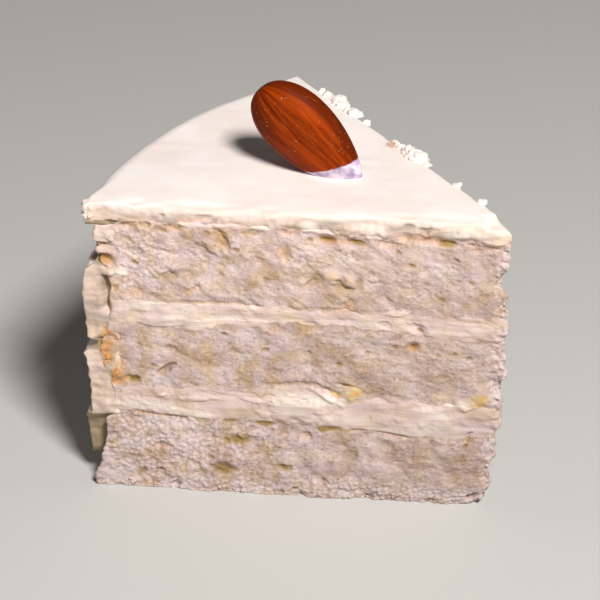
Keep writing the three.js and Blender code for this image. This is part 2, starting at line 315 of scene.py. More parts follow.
def ring_faces(ring_count: int, ring_size: int) -> list[tuple[int, ...]]:
    """Faces over rings of points that start and end in a single point.

    Args:
        ring_count: How many full rings lie between the two end points.
        ring_size: Points in each ring.

    Returns:
        Quads between the rings and a fan of triangles at each end.
    """
    index = np.arange(ring_size)
    following = (index + 1) % ring_size
    faces: list[tuple[int, ...]] = []
    first, last = 0, 1 + ring_count * ring_size
    faces += [(first, int(1 + b), int(1 + a)) for a, b in zip(index, following)]
    for row in range(ring_count - 1):
        here, below = 1 + row * ring_size, 1 + (row + 1) * ring_size
        quads = np.c_[here + index, here + following, below + following, below + index]
        faces += [tuple(quad) for quad in quads.tolist()]
    start = 1 + (ring_count - 1) * ring_size
    faces += [(last, int(start + a), int(start + b)) for a, b in zip(index, following)]
    return faces


def ring_object(name: str, rings: list[Array], ends: tuple[Array, Array]) -> Object:
    """Makes a closed piece from rings of points.

    Args:
        name: Name of the piece.
        rings: Rings in millimetres from the highest to the lowest.
        ends: The single points above the first ring and below the last one.

    Returns:
        The piece, with its faces pointing outwards.
    """
    points = np.vstack([ends[0][None], *rings, ends[1][None]])
    faces = ring_faces(len(rings), len(rings[0]))
    return mesh_object(name, points, faces)


def mesh_object(name: str, points: Array, faces: list[tuple[int, ...]]) -> Object:
    """Makes a piece from closed faces.

    Args:
        name: Name of the piece.
        points: Its points in millimetres.
        faces: Its faces, all one way round.

    Returns:
        The piece, with its faces turned outwards.
    """
    mesh = bpy.data.meshes.new(name)
    mesh.from_pydata((points * MM).tolist(), [], faces)
    mesh.update()
    if signed_volume(mesh) < 0:
        mesh.flip_normals()
    mesh.shade_smooth()
    return link(name, mesh)


def link(name: str, data: Any) -> Object:
    """Makes an object of a mesh, a lamp or a camera and puts it in the scene."""
    thing = bpy.data.objects.new(name, data)
    bpy.context.scene.collection.objects.link(thing)
    return thing


def signed_volume(mesh: Mesh) -> float:
    """Volume inside a closed mesh, below zero where its faces point inwards."""
    mesh.calc_loop_triangles()
    corners = np.empty(len(mesh.loop_triangles) * 3, np.int32)
    mesh.loop_triangles.foreach_get("vertices", corners)
    points = read_points(mesh)[corners.reshape(-1, 3)]
    return float(np.einsum("ij,ij->i", points[:, 0], np.cross(points[:, 1], points[:, 2])).sum() / 6)


def read_points(mesh: Mesh) -> Array:
    """Vertex places of a mesh in its own units, one row each."""
    flat = np.empty(len(mesh.vertices) * 3, np.float32)
    mesh.vertices.foreach_get("co", flat)
    return flat.reshape(-1, 3).astype(float)


def store(piece: Object, name: str, values: Array) -> None:
    """Stores one number or one vector for each vertex under a name."""
    kind, key = ("FLOAT_VECTOR", "vector") if values.ndim == 2 else ("FLOAT", "value")
    layer = piece.data.attributes.new(name, kind, "POINT")
    layer.data.foreach_set(key, np.ascontiguousarray(values, np.float32).ravel())


def read(piece: Object, name: str) -> Array:
    """Numbers that a mesh stores under a name, one for each vertex."""
    values = np.empty(len(piece.data.vertices), np.float32)
    piece.data.attributes[name].data.foreach_get("value", values)
    return values


def bake(piece: Object) -> Object:
    """Turns a piece with modifiers into a plain mesh without them.

    Args:
        piece: The piece.

    Returns:
        The same piece.
    """
    bpy.context.view_layer.update()
    graph = bpy.context.evaluated_depsgraph_get()
    seen = piece.evaluated_get(graph)
    plain = bpy.data.meshes.new_from_object(seen, preserve_all_data_layers=True, depsgraph=graph)
    old = piece.data
    piece.modifiers.clear()
    piece.data = plain
    plain.name = piece.name
    plain.shade_smooth()
    bpy.data.meshes.remove(old)
    return piece


def combine(piece: Object, other: Object, operation: str) -> Object:
    """Cuts another piece out of this one, or joins it on, and removes the other.

    Args:
        piece: The piece that stays.
        other: The piece that is used up.
        operation: DIFFERENCE or UNION.

    Returns:
        The changed piece.
    """
    modifier = piece.modifiers.new("combine", "BOOLEAN")
    modifier.operation = operation
    modifier.solver = "MANIFOLD"
    modifier.object = other
    bake(piece)
    used = other.data
    bpy.data.objects.remove(other)
    bpy.data.meshes.remove(used)
    return piece


# ---- Node trees ----

MATH = "ShaderNodeMath"
VECTOR_MATH = "ShaderNodeVectorMath"
RANGE = "ShaderNodeMapRange"
MIX = "ShaderNodeMix"
NOISE = "ShaderNodeTexNoise"
CELLS = "ShaderNodeTexVoronoi"
STRETCH = "ShaderNodeMapping"
SPLIT = "ShaderNodeSeparateXYZ"
JOIN = "ShaderNodeCombineXYZ"
BUMP = "ShaderNodeBump"
TIMES = {"operation": "MULTIPLY"}
MINUS = {"operation": "SUBTRACT"}
COLOURS = {"output": 2, "data_type": "RGBA"}


def from_hex(code: str) -> tuple[float, float, float, float]:
    """Turns an sRGB hex colour into linear red, green, blue and alpha."""
    parts = [int(code[i : i + 2], 16) / 255 for i in (0, 2, 4)]
    linear = [p / 12.92 if p <= 0.04045 else ((p + 0.055) / 1.055) ** 2.4 for p in parts]
    return (*linear, 1.0)


def scale_of(size: float) -> float:
    """Scale of a pattern whose bumps are this many millimetres wide."""
    return 1 / (size * MM)


class Tree:
    """A node tree that is being built."""

    def __init__(self, tree: NodeTree) -> None:
        """Keeps the tree that takes the nodes."""
        self.tree = tree

    def add(self, kind: str, inputs: Any = (), output: int | str | None = 0, **settings: Any) -> Any:
        """Adds one node.

        Args:
            kind: Its class name.
            inputs: Values, hex colours or sockets to link, in order or by each input's name or number.
            output: Name or number of the wanted output.
            **settings: Properties of the node itself.

        Returns:
            The wanted output, or the node where that is None.
        """
        node = self.tree.nodes.new(kind)
        for name, value in settings.items():
            setattr(node, name, value)
        for key, value in (inputs if isinstance(inputs, dict) else dict(enumerate(inputs))).items():
            socket = node.inputs[key]
            if isinstance(value, bpy.types.NodeSocket):
                self.tree.links.new(value, socket)
            else:
                socket.default_value = from_hex(value) if socket.type == "RGBA" else value
        return node if output is None else node.outputs[output]


# ---- Finishes ----


class Shader(Tree):
    """A material's tree, with the object's own places and the masks that its mesh stores."""

    def __init__(self, name: str, masks: Sequence[str] = ()) -> None:
        """Starts a material.

        Args:
            name: Name of the material.
            masks: Names of the numbers that it reads from the mesh.
        """
        self.material = bpy.data.materials.new(name)
        self.material.use_nodes = True
        super().__init__(self.material.node_tree)
        self.tree.nodes.clear()
        self.place = self.add("ShaderNodeTexCoord", output="Object")
        stored = {"kind": "ShaderNodeAttribute", "output": "Fac"}
        self.masks = {mask: self.add(**stored, attribute_name=mask) for mask in masks}

    def wide(self, size: float, detail: float = 2.0) -> dict[str, Any]:
        """Inputs of a noise on the object whose bumps are this many millimetres wide."""
        return {"Vector": self.place, "Scale": scale_of(size), "Detail": detail}

    def grains(self, size: float) -> Any:
        """Rounded lumps about size millimetres wide, with thin pores between them."""
        inputs = {"Vector": self.place, "Scale": scale_of(size), "Randomness": 1.0}
        apart = self.add(CELLS, inputs, feature="F1")
        return self.add(MATH, (1.0, self.add(MATH, (apart, apart), **TIMES)), **MINUS)

    def tinted(
        self, base: Any, tone: Any, where: Any, low: float = 0.0, high: float = 1.0, most: float = 1.0
    ) -> Any:
        """Turns a colour towards a tone.

        Args:
            base: The colour, as a hex code or a socket.
            tone: What it turns towards.
            where: Value that steers it.
            low: Where the tone starts.
            high: Where it is full.
            most: Its share there.

        Returns:
            The tinted colour.
        """
        share = self.add(RANGE, (where, low, high, 0.0, most))
        return self.add(MIX, {0: share, 6: base, 7: tone}, **COLOURS)

    def surface(self, inputs: dict[str, Any]) -> Material:
        """Closes the tree with a Principled surface that has these inputs."""
        self.add("ShaderNodeOutputMaterial", (self.add("ShaderNodeBsdfPrincipled", inputs),), None)
        return self.material


@dataclass(frozen=True)
class CrumbTones:
    """Colours of chiffon crumb: lilac white in some patches and warm yellow in others, with painted shade in
    its hollows and pits.
    """

    # The ridge colours are the lit crumb; the hollow colours are painted shade in its hollows.
    pink_ridge: str = "e5d2d0"
    pink_hollow: str = "b59993"
    warm_ridge: str = "e1cab7"
    warm_hollow: str = "b19070"
    # Painted shade at the bottoms of pits and open bubbles.
    hole: str = "a3864f"
    crust: str = "dfa964"
    crust_dark: str = "bd7c3c"
    grain: float = 0.5
    patch: float = 2.8
    cloud: float = 7.0
    cloud_dark: float = -1.05
    fluff_light: float = 0.3
    fluff_cool: float = 0.8
    mean_warmth: float = 0.4
    even: tuple[float, float, float] = (-10.0, 15.0, 0.6)

    def colour(self, s: Shader, grain: Any) -> Any:
        """Colours the crumb by its relief, which paints shade into the hollows, and by its masks, more evenly
        towards the tip.

        Args:
            s: Material that is being built.
            grain: Fine noise of the crumb.

        Returns:
            The colour.
        """
        add = s.add
        cloud = add(NOISE, s.wide(self.cloud))
        cloud = add(RANGE, (cloud, 0.35, 0.65, -0.18, 0.18))
        fluff = add(MATH, (s.masks["fluff"], self.fluff_light), **TIMES)
        # Painted shade: the lower the relief, the nearer the colour comes to the hollow shade.
        rise = add(RANGE, (s.masks["relief"], -1.6, 1.5))
        tone = add(MATH, (rise, add(RANGE, (grain, 0.3, 0.7, -0.2, 0.2))))
        tone = add(MATH, (add(MATH, (tone, fluff)), add(MATH, (cloud, self.cloud_dark), **TIMES)))
        warm = add(NOISE, s.wide(self.patch, 0.0))
        warm = add(MATH, (add(RANGE, (warm, 0.36, 0.7)), cloud))
        start, end, least = self.even
        even = add(RANGE, (add(SPLIT, (s.place,), "X"), start * MM, end * MM, 1.0, least))
        warm = add(MATH, (add(MATH, (warm, self.mean_warmth), **MINUS), even), **TIMES)
        warm = add(MATH, (self.mean_warmth, warm))
        low = s.tinted(self.pink_hollow, self.warm_hollow, warm)
        cool = add(MATH, (fluff, self.fluff_cool), **TIMES)
        warm = add(RANGE, (add(MATH, (warm, cool), **MINUS), 0.0, 1.0))
        high = add(MIX, {0: warm, 6: self.pink_ridge, 7: self.warm_ridge}, **COLOURS)
        # The pits' mask paints the hole's shade colour into them.
        colour = s.tinted(s.tinted(low, high, tone, 0.05, 0.95), self.hole, s.masks["pit"], most=0.95)
        brown = s.tinted(self.crust_dark, self.crust, grain, 0.35, 0.65)
        return s.tinted(colour, brown, s.masks["toast"], most=0.9)


@dataclass(frozen=True)
class CreamTones:
    """Colours of whipped cream: ivory, pinker where it is thin, with painted highlights on the knife's
    streaks and painted shade between them.
    """

    body: str = "e3cac8"
    warm: str = "e8d1bf"
    streak: str = "f3e5d9"
    shade: str = "c9ac96"
    gleam: str = "fff6ea"
    hollow: str = "9c8a66"
    size: float = 2.6
    patch: float = 4.5

    def streaks(self, s: Shader) -> Any:
        """Long level streaks that a knife leaves, as noise from 0 to 1."""
        level = s.add(STRETCH, {"Vector": s.place, "Scale": (0.3, 0.3, 1.7)})
        return s.add(NOISE, {"Vector": level, "Scale": scale_of(self.size), "Detail": 3.0, "Distortion": 0.6})

    def colour(self, s: Shader, streaks: Any) -> Any:
        """Colours the cream along its streaks, with a painted highlight on them and painted shade between
        them.

        Args:
            s: Material that is being built.
            streaks: The streaks, as noise.

        Returns:
            The colour.
        """
        patch = s.add(NOISE, s.wide(self.patch, 3.0))
        body = s.tinted(self.body, self.warm, patch, 0.42, 0.64)
        colour = s.tinted(self.shade, body, streaks, 0.25, 0.5)
        colour = s.tinted(colour, self.streak, streaks, 0.52, 0.72)
        # Painted shade in pits, deepest at their bottoms.
        colour = s.tinted(colour, self.shade, s.masks["pit"], 0.0, 0.6, 0.75)
        colour = s.tinted(colour, self.hollow, s.masks["pit"], 0.6, 1.0, 0.8)
        # Whiter cream with a painted highlight where the gleam marks lie.
        return s.add(MIX, {0: s.masks["gleam"], 6: colour, 7: self.gleam}, **COLOURS)


@dataclass(frozen=True)
class CutCake:
    """A cut through the cake: dull foam and soft cream, mixed where the knife dragged them."""

    name: str
    crumb: CrumbTones = CrumbTones()
    cream: CreamTones = CreamTones()
    fruit: str = "e0b674"
    fruit_edge: str = "dfc79f"
    fruit_size: float = 1.4
    damp: float = 0.81
    damp_height: float = 50.0
    dense: float = 0.9
    dense_from: tuple[float, float] = (-10.0, 34.0)
    drawn_out: float = 1.8
    bubble: float = 0.32
    grain_depth: float = 0.18
    bubble_depth: float = 0.09
    streak_depth: float = 0.35

    def material(self) -> Material:
        """Builds the material, which is damper low down and has painted shade towards the tip.

        Returns:
            The material.
        """
        s = Shader(self.name, ("relief", "cream", *WALL_MASKS[1:]))
        add, share = s.add, s.masks["cream"]
        tall = add(STRETCH, {"Vector": s.place, "Scale": (1.0, 1.0, self.drawn_out)})
        grain = add(NOISE, {"Vector": tall, "Scale": scale_of(self.crumb.grain), "Detail": 3.0})
        streaks = self.cream.streaks(s)
        crumb, cream = self.crumb.colour(s, grain), self.cream.colour(s, streaks)
        colour = add(MIX, {0: share, 6: crumb, 7: cream}, **COLOURS)
        flesh = add(NOISE, s.wide(self.fruit_size, 1.0))
        flesh = s.tinted(self.fruit_edge, self.fruit, flesh, 0.35, 0.6)
        colour = s.tinted(colour, flesh, s.masks["fruit"], 0.0, 0.6)
        split = add(SPLIT, (s.place,), None).outputs
        start, end = self.dense_from
        dry = add(RANGE, (split["Z"], 0.0, self.damp_height * MM, self.damp, 1.0))
        # Painted shade: the colour darkens towards the tip's side.
        dense = add(RANGE, (split["X"], start * MM, end * MM, 1.0, self.dense))
        damp_and_tip_shade = add(MATH, (dry, dense), **TIMES)
        rough = add(RANGE, (share, 0.0, 1.0, 0.45, 0.2))
        bump = add(BUMP, {"Height": grain, "Distance": self.grain_depth * MM, "Strength": rough})
        fine = {"Height": s.grains(self.bubble), "Distance": self.bubble_depth * MM, "Strength": rough}
        bump = add(BUMP, {**fine, "Normal": bump})
        smear = {"Distance": self.streak_depth * MM, "Strength": add(RANGE, (share, 0.0, 1.0, 0.0, 0.45))}
        surface = {
            "Base Color": add(VECTOR_MATH, {0: colour, "Scale": damp_and_tip_shade}, operation="SCALE"),
            "Roughness": add(RANGE, (share, 0.0, 1.0, 0.9, 0.5)),
            "Specular IOR Level": 0.14,
            "Normal": add(BUMP, {"Height": streaks, **smear, "Normal": bump}),
        }
        return s.surface(surface)


@dataclass(frozen=True)
class CreamIcing:
    """Cream spread over the cake: matt, nearly white on top and warmer where it was cut."""

    name: str = "whipped_cream_icing"
    top: str = "fff4f0"
    top_shade: str = "faeae4"
    top_patch: float = 9.0
    crumb: CrumbTones = CrumbTones()
    cream: CreamTones = CreamTones("e1c8bb", "e3cab0", "f2dccb", "a79a92")
    light_travel: float = 0.35
    grain_depth: float = 0.3
    bubble: float = 0.45
    bubble_depth: float = 0.12
    streak_depth: float = 0.3

    def material(self) -> Material:
        """Builds the material; light travels a little way into the cream.

        Returns:
            The material.
        """
        s = Shader(self.name, ("section", "relief", "cream", *WALL_MASKS[1:]))
        add, cut = s.add, s.masks["section"]
        grain = add(NOISE, s.wide(self.crumb.grain, 3.0))
        streaks = self.cream.streaks(s)
        spread = add(NOISE, s.wide(self.top_patch))
        spread = s.tinted(self.top, self.top_shade, spread, 0.35, 0.65)
        crumb, cream = self.crumb.colour(s, grain), self.cream.colour(s, streaks)
        section = add(MIX, {0: s.masks["cream"], 6: crumb, 7: cream}, **COLOURS)
        colour = add(MIX, {0: cut, 6: spread, 7: section}, **COLOURS)
        crumbs = add(MATH, (cut, add(RANGE, (s.masks["cream"], 0.0, 1.0, 0.5, 0.2))), **TIMES)
        bump = add(BUMP, {"Height": grain, "Distance": self.grain_depth * MM, "Strength": crumbs})
        fine = {"Height": s.grains(self.bubble), "Distance": self.bubble_depth * MM, "Strength": crumbs}
        bump = add(BUMP, {**fine, "Normal": bump})
        smear = {"Distance": self.streak_depth * MM, "Strength": add(MATH, (cut, 0.35), **TIMES)}
        surface = {
            "Base Color": colour,
            "Roughness": 0.55,
            "Specular IOR Level": 0.2,
            "Subsurface Weight": 0.4,
            "Subsurface Scale": self.light_travel * MM,
            "Subsurface Radius": (1.0, 0.88, 0.78),
            "Normal": add(BUMP, {"Height": streaks, **smear, "Normal": bump}),
        }
        return s.surface(surface)


@dataclass(frozen=True)
class AlmondSkin:
    """Raw almond skin: a dry papery brown coat with ridges along the nut."""

    name: str = "dry_almond_skin"
    ridge: str = "a63e05"
    furrow: str = "662002"
    pale: str = "bb6a28"
    dust: str = "e2b98a"
    film: str = "e2dcec"
    film_shade: str = "a996b8"
    rim_dark: float = 1.1
    fine_depth: float = 0.1

    def material(self) -> Material:
        """Builds the material, with specks of dust and a film of cream over the tip.

        Returns:
            The material.
        """
        s = Shader(self.name, ("relief", "rim", "film"))
        add = s.add
        along = add("ShaderNodeAttribute", output="Vector", attribute_name="along")
        streaks = add(NOISE, {"Vector": along, "Scale": scale_of(0.9), "Detail": 5.0, "Distortion": 0.5})
        broad = add(NOISE, {"Vector": along, "Scale": scale_of(3.0), "Distortion": 0.4})
        fine = add(NOISE, {"Vector": along, "Scale": scale_of(0.35), "Detail": 3.0})
        # The tone darkens in the furrows between the ridges as painted shade, and along the skin's own
        # streaks.
        ridges = add(RANGE, (s.masks["relief"], -1.0, 1.0, 0.25, 0.55))
        tone = add(MATH, (ridges, add(RANGE, (streaks, 0.3, 0.7, -0.42, 0.45))))
        tone = add(MATH, (tone, add(RANGE, (broad, 0.35, 0.65, -0.3, 0.25))))
        # Painted shade on the nut's edges, where its skin turns away.
        rim = add(MATH, (s.masks["rim"], self.rim_dark), **TIMES)
        tone = add(MATH, (tone, rim), **MINUS)
        colour = s.tinted(self.furrow, self.ridge, tone)
        colour = s.tinted(colour, self.pale, fine, 0.58, 0.75, 0.3)
        dusty = add(NOISE, s.wide(4.0, 1.0))
        specks = add(NOISE, s.wide(0.35, 1.0))
        specks = add(MATH, (add(RANGE, (specks, 0.7, 0.76)), add(RANGE, (dusty, 0.5, 0.6))), **TIMES)
        specks = add(MATH, (specks, 0.7), **TIMES)
        colour = add(MIX, {0: specks, 6: colour, 7: self.dust}, **COLOURS)
        film = add(NOISE, s.wide(1.5, 3.0))
        film = s.tinted(self.film_shade, self.film, film, 0.35, 0.6)
        surface = {
            "Base Color": add(MIX, {0: s.masks["film"], 6: colour, 7: film}, **COLOURS),
            "Roughness": 0.55,
            "Specular IOR Level": 0.06,
            "Normal": add(BUMP, {"Height": fine, "Distance": self.fine_depth * MM, "Strength": 0.4}),
        }
        return s.surface(surface)


@dataclass(frozen=True)
class StudioPaint:
    """Matt pale paint of the studio floor."""

    name: str = "matt_studio_paint"
    colour: str = "c9c8c6"

    def material(self) -> Material:
        """Builds the material."""
        return Shader(self.name).surface({"Base Color": self.colour, "Roughness": 0.85})


# ---- Marks that the knife and the baking have left on the front cut ----


class MarkKind(Enum):
    """What a mark shows: the mask that it raises, and how far."""

    # PIT and SHADE paint shade into pits, SHADE more lightly.
    PIT = ("pit", 1.0)
    SHADE = ("pit", 0.45)
    # TAN is tan crumb colour and, in the grooves, painted warm shade.
    TAN = ("toast", 0.35)
    CRUST = ("toast", 1.0)
    CREAM = ("cream", 1.0)
    CRUMB = ("cream", 0.0)
    # GLEAM marks are whiter cream on raised lumps and streaks, with a painted highlight.
    GLEAM = ("gleam", 0.6)
    FRUIT = ("fruit", 1.0)
    PALE = ("fruit", 0.3)


@dataclass(frozen=True)
class Mark:
    """One pit, lump or browned patch of a cut, in millimetres.

    Attributes:
        reach: Distance of its middle from the tip.
        height: Height of its middle.
        length: Half its longer size.
        width: Half its other size.
        rise: How far it stands out of the cut, below zero for a pit.
        kind: What colour it brings.
        slope: Degrees that its longer side climbs towards the rim.
    """

    reach: float
    height: float
    length: float
    width: float
    rise: float
    kind: MarkKind = MarkKind.PIT
    slope: float = 0.0

    def weight(self, reach: Array, height: Array, wobble: Array) -> Array:
        """How strongly the mark acts at each place.

        Args:
            reach: Distances of the places from the tip.
            height: Their heights.
            wobble: Noise that makes the mark's edge uneven.

        Returns:
            Shares from 0 to 1.
        """
        turn = math.radians(self.slope)
        across, up = reach - self.reach, height - self.height
        long_way = (across * math.cos(turn) + up * math.sin(turn)) / self.length
        short_way = (up * math.cos(turn) - across * math.sin(turn)) / self.width
        soft = 0.1 if self.kind in (MarkKind.GLEAM, MarkKind.FRUIT, MarkKind.PALE) else 0.4
        return falling(np.hypot(long_way, short_way) + 0.3 * wobble, soft, 1.25)


PIT, SHADE, TAN, CRUST, CREAM, CRUMB, GLEAM, FRUIT, PALE = MarkKind

FRONT_MARKS = tuple(
    Mark(*row)
    for row in (
        # Bottom sponge.
        (51.4, 5.1, 2.6, 1.6, -1.1, PIT, 8), (49.2, 11.4, 2.9, 1.2, -0.8, PIT),
        (40.1, 6.0, 1.6, 0.9, -0.9, PIT), (63.0, 3.8, 1.3, 0.8, -0.7, SHADE),
        (63.1, 9.3, 1.1, 0.8, -0.6, TAN), (36.3, 13.0, 1.1, 0.9, -0.8, TAN),
        (28.6, 9.4, 1.7, 2.4, -0.5, SHADE), (60.3, 0.8, 0.7, 0.9, -1.2, CRUMB),
        (37.0, 0.4, 0.6, 0.7, -1.0, CRUMB), (24.5, 0.4, 1.2, 0.7, -1.0, CRUMB),
        (12.5, 0.4, 1.0, 0.7, -1.0, CRUMB), (4.4, 1.8, 1.4, 0.9, -1.4, SHADE),
        (6.6, 14.5, 0.5, 4.4, -0.6, TAN, 14),
        # Groove along the lower filling's underside, with painted shade.
        (64.0, 15.8, 6.0, 0.4, -0.4, TAN, 3), (50.2, 15.5, 1.8, 0.6, -0.4, PIT),
        (44.2, 15.2, 2.2, 0.6, -0.4, PIT), (32.4, 14.9, 2.6, 0.7, -0.4, PIT, -5),
        (27.0, 15.0, 1.8, 0.4, -0.5, SHADE), (20.2, 14.5, 3.2, 0.4, -0.5, TAN, 6),
        # Lower filling: a thick smear, the thin see-through cream over it and white streaks with a painted
        # highlight.
        (38.5, 18.4, 8.0, 2.7, 0.9, CREAM, 2), (38.5, 22.6, 7.2, 1.4, -0.5, CREAM),
        (39.0, 23.9, 6.6, 0.5, -0.4, SHADE, -4), (32.8, 21.8, 4.0, 0.6, 0.8, GLEAM, 29),
        (46.0, 20.2, 3.6, 0.45, 0.5, CREAM, 8), (31.8, 22.9, 2.4, 0.45, -0.5, TAN, 25),
        (28.4, 24.2, 2.6, 0.4, -0.6, SHADE, 12), (17.0, 18.9, 8.5, 2.6, 0.5, CREAM),
        (7.5, 21.7, 1.8, 1.2, 0.7, CREAM), (28.0, 22.8, 1.9, 2.0, 0.8, FRUIT, 20),
        (30.9, 22.6, 1.5, 0.7, 0.3, FRUIT, 28), (4.6, 22.9, 1.9, 1.7, 0.5, FRUIT, -15),
        (11.7, 22.8, 1.7, 1.0, 0.3, PALE, 10), (57.0, 19.8, 4.5, 0.5, 0.45, CREAM, -4),
        (63.0, 20.3, 1.3, 0.45, 0.5, GLEAM, -20), (43.4, 20.6, 1.8, 0.4, 0.3, GLEAM, 10),
        # Middle sponge.
        (62.2, 25.3, 2.7, 0.7, -1.2, SHADE, -38), (57.0, 29.4, 3.4, 1.3, 0.5, CRUMB, 22),
        (61.3, 29.6, 1.3, 0.9, -0.8, SHADE), (67.9, 22.8, 1.0, 0.9, -0.8, PIT),
        (17.3, 32.8, 1.0, 1.1, -1.1, TAN), (17.3, 32.6, 0.6, 0.7, -0.5, PIT),
        (11.8, 27.2, 1.3, 0.5, -0.4, SHADE),
        # Upper filling and the groove under the top sponge, with painted shade.
        (52.5, 39.6, 8.5, 0.4, -0.35, SHADE), (32.0, 39.7, 5.0, 0.45, -0.35, SHADE),
        (45.5, 39.3, 1.2, 0.5, -0.6, TAN), (35.6, 36.0, 1.6, 1.0, -0.6, TAN),
        (22.2, 37.3, 1.3, 0.8, -0.6, TAN), (16.4, 36.5, 1.7, 1.0, -0.8, TAN, 20),
        (16.0, 36.2, 0.7, 0.5, -0.5, PIT, 20), (28.8, 40.9, 1.2, 1.0, -0.7, TAN),
        (55.5, 39.2, 1.8, 0.4, 0.6, GLEAM), (38.3, 40.1, 1.0, 0.6, 0.5, CREAM),
        (20.0, 39.7, 2.0, 0.45, 0.5, CREAM),
        # Top sponge.
        (51.6, 52.4, 2.4, 0.9, -1.0, SHADE, 55), (51.4, 53.2, 1.2, 0.8, -0.7, TAN, 55),
        (53.4, 50.9, 2.3, 0.8, 0.7, CRUMB, 50), (40.2, 50.3, 1.5, 2.2, -0.8, TAN, -15),
        (59.8, 46.7, 2.6, 0.9, 0.6, CRUMB, 6), (61.2, 44.9, 2.2, 1.0, -0.9, SHADE, -18),
        (57.0, 42.2, 2.6, 0.6, -0.6, TAN, -30), (67.7, 40.9, 2.3, 1.1, -0.6, TAN, -20),
        (35.4, 44.7, 1.8, 0.8, -0.9, SHADE, -35), (28.9, 44.0, 1.0, 0.5, -0.6, SHADE),
        (32.0, 46.3, 1.7, 1.9, 1.0, PALE), (28.8, 45.9, 1.4, 1.4, 0.7, PALE),
        (34.6, 45.6, 1.2, 1.1, -0.4, SHADE), (30.6, 44.3, 1.9, 0.8, -0.5, SHADE),
        (27.0, 45.2, 0.8, 1.1, -0.3, SHADE), (24.6, 46.2, 1.0, 0.7, 0.5, CREAM),
        (72.6, 52.4, 1.3, 1.5, 1.2, GLEAM), (72.4, 48.8, 0.8, 0.7, 0.7, CREAM),
        (72.6, 50.1, 2.4, 0.6, -1.4, PIT), (71.6, 47.2, 2.0, 1.1, -1.4, PIT),
        (70.8, 54.6, 2.0, 0.6, -1.0, PIT), (69.4, 44.6, 1.4, 1.0, 0.6, GLEAM),
        (70.4, 41.6, 1.4, 0.8, -0.6, SHADE), (70.0, 22.6, 1.6, 0.6, -0.6, CRUST, -40),
        (72.4, 31.4, 1.2, 0.5, -0.6, TAN), (72.0, 26.6, 1.4, 0.4, -0.8, CRUST, -15),
        # Icing, and the line under it with tan crumb and painted shade.
        (67.8, 54.3, 1.9, 0.8, -0.8, TAN, -10), (65.4, 54.6, 1.5, 0.6, -0.7, SHADE),
        (59.5, 54.4, 2.2, 0.7, -0.6, TAN), (54.7, 56.6, 2.0, 0.8, -0.5, TAN, -15),
        (52.9, 55.8, 1.0, 0.5, -0.5, SHADE, -50), (62.1, 56.5, 0.5, 0.45, -0.6, SHADE),
        (45.8, 54.0, 1.6, 0.8, -0.6, SHADE), (39.2, 54.5, 2.4, 1.1, -0.7, TAN),
        (31.6, 53.5, 3.4, 1.3, -0.9, TAN), (32.6, 53.2, 1.4, 0.6, -0.6, PIT),
        (36.2, 55.7, 1.8, 1.2, 0.8, GLEAM), (24.6, 55.5, 3.0, 1.4, 1.0, GLEAM),
        (27.5, 53.2, 1.6, 0.6, -0.6, PIT), (21.9, 53.2, 2.6, 0.9, -0.8, TAN),
        (18.6, 56.8, 1.2, 0.6, -0.6, SHADE), (15.6, 56.2, 1.4, 0.8, -0.8, PIT),
        (16.5, 54.6, 4.2, 1.1, -0.7, TAN), (13.6, 57.9, 1.3, 0.9, 0.6, CREAM),
        (11.4, 54.0, 1.8, 0.8, -0.8, PIT), (8.8, 56.0, 3.4, 1.1, 0.9, GLEAM),
        (4.9, 53.2, 2.3, 0.8, -0.9, SHADE, -12), (3.2, 54.6, 2.0, 0.6, 0.5, CREAM),
    )
)  # fmt: skip


def random_marks(seed: int, count: int, heights: tuple[float, float]) -> tuple[Mark, ...]:
    """Pits for a cut that isn't seen in the photograph, as common as on the front one.

    Args:
        seed: Start of the draw.
        count: How many pits.
        heights: Lowest and highest place.

    Returns:
        The marks.
    """
    draw = np.random.default_rng(seed)
    marks = []
    for _ in range(count):
        reach, height = draw.uniform(9, 69), draw.uniform(*heights)
        length, width = draw.uniform(0.8, 2.4), draw.uniform(0.6, 1.2)
        kind = (PIT, SHADE, TAN)[draw.integers(3)]
        marks.append(Mark(reach, height, length, width, -draw.uniform(0.5, 1.6), kind, draw.uniform(-40, 40)))
    return tuple(marks)


BACK_MARKS = random_marks(5, 40, (2.0, 56.0))


@dataclass
class MarkedSurface:
    """What the marks do at many places of a wall.

    Attributes:
        rise: How far each place is moved out, in millimetres.
        masks: Strength of each colour mask, by its name.
    """

    rise: Array
    masks: dict[str, Array]

    @classmethod
    def read(cls, points: Array, reach: Array, side: Array, cream: Array) -> "MarkedSurface":
        """Adds up the marks of both cuts.

        Args:
            points: Places in millimetres.
            reach: Their distances from the tip.
            side: Their sides, as the values of Side.
            cream: Share of cream against crumb before the marks.

        Returns:
            The rise and the masks.
        """
        wobble = soft_noise(points, 1.3, 31) + 0.6 * soft_noise(points, 0.6, 32)
        blank = np.zeros(len(points))
        masks = {name: blank.copy() for name in ("pit", "toast", "gleam", "fruit")}
        found = cls(blank.copy(), {**masks, "cream": cream.copy()})
        for place, marks in ((Side.FRONT, FRONT_MARKS), (Side.BACK, BACK_MARKS)):
            for mark in marks:
                near = (side == place.value) & (np.abs(points[:, 2] - mark.height) < 1.3 * mark.length + 1)
                here = np.flatnonzero(near)
                weight = mark.weight(reach[here], points[here, 2], wobble[here])
                found.rise[here] += mark.rise * weight
                name, level = mark.kind.value
                mask = found.masks[name]
                if name == "cream":
                    mask[here] += (level - mask[here]) * weight
                    continue
                mask[here] = np.maximum(mask[here], level * weight)
                if name in ("gleam", "fruit"):
                    cream = found.masks["cream"]
                    cream[here] = np.maximum(cream[here], weight)
        return found


# ---- Crumb relief and loose crumbs, by Geometry Nodes ----


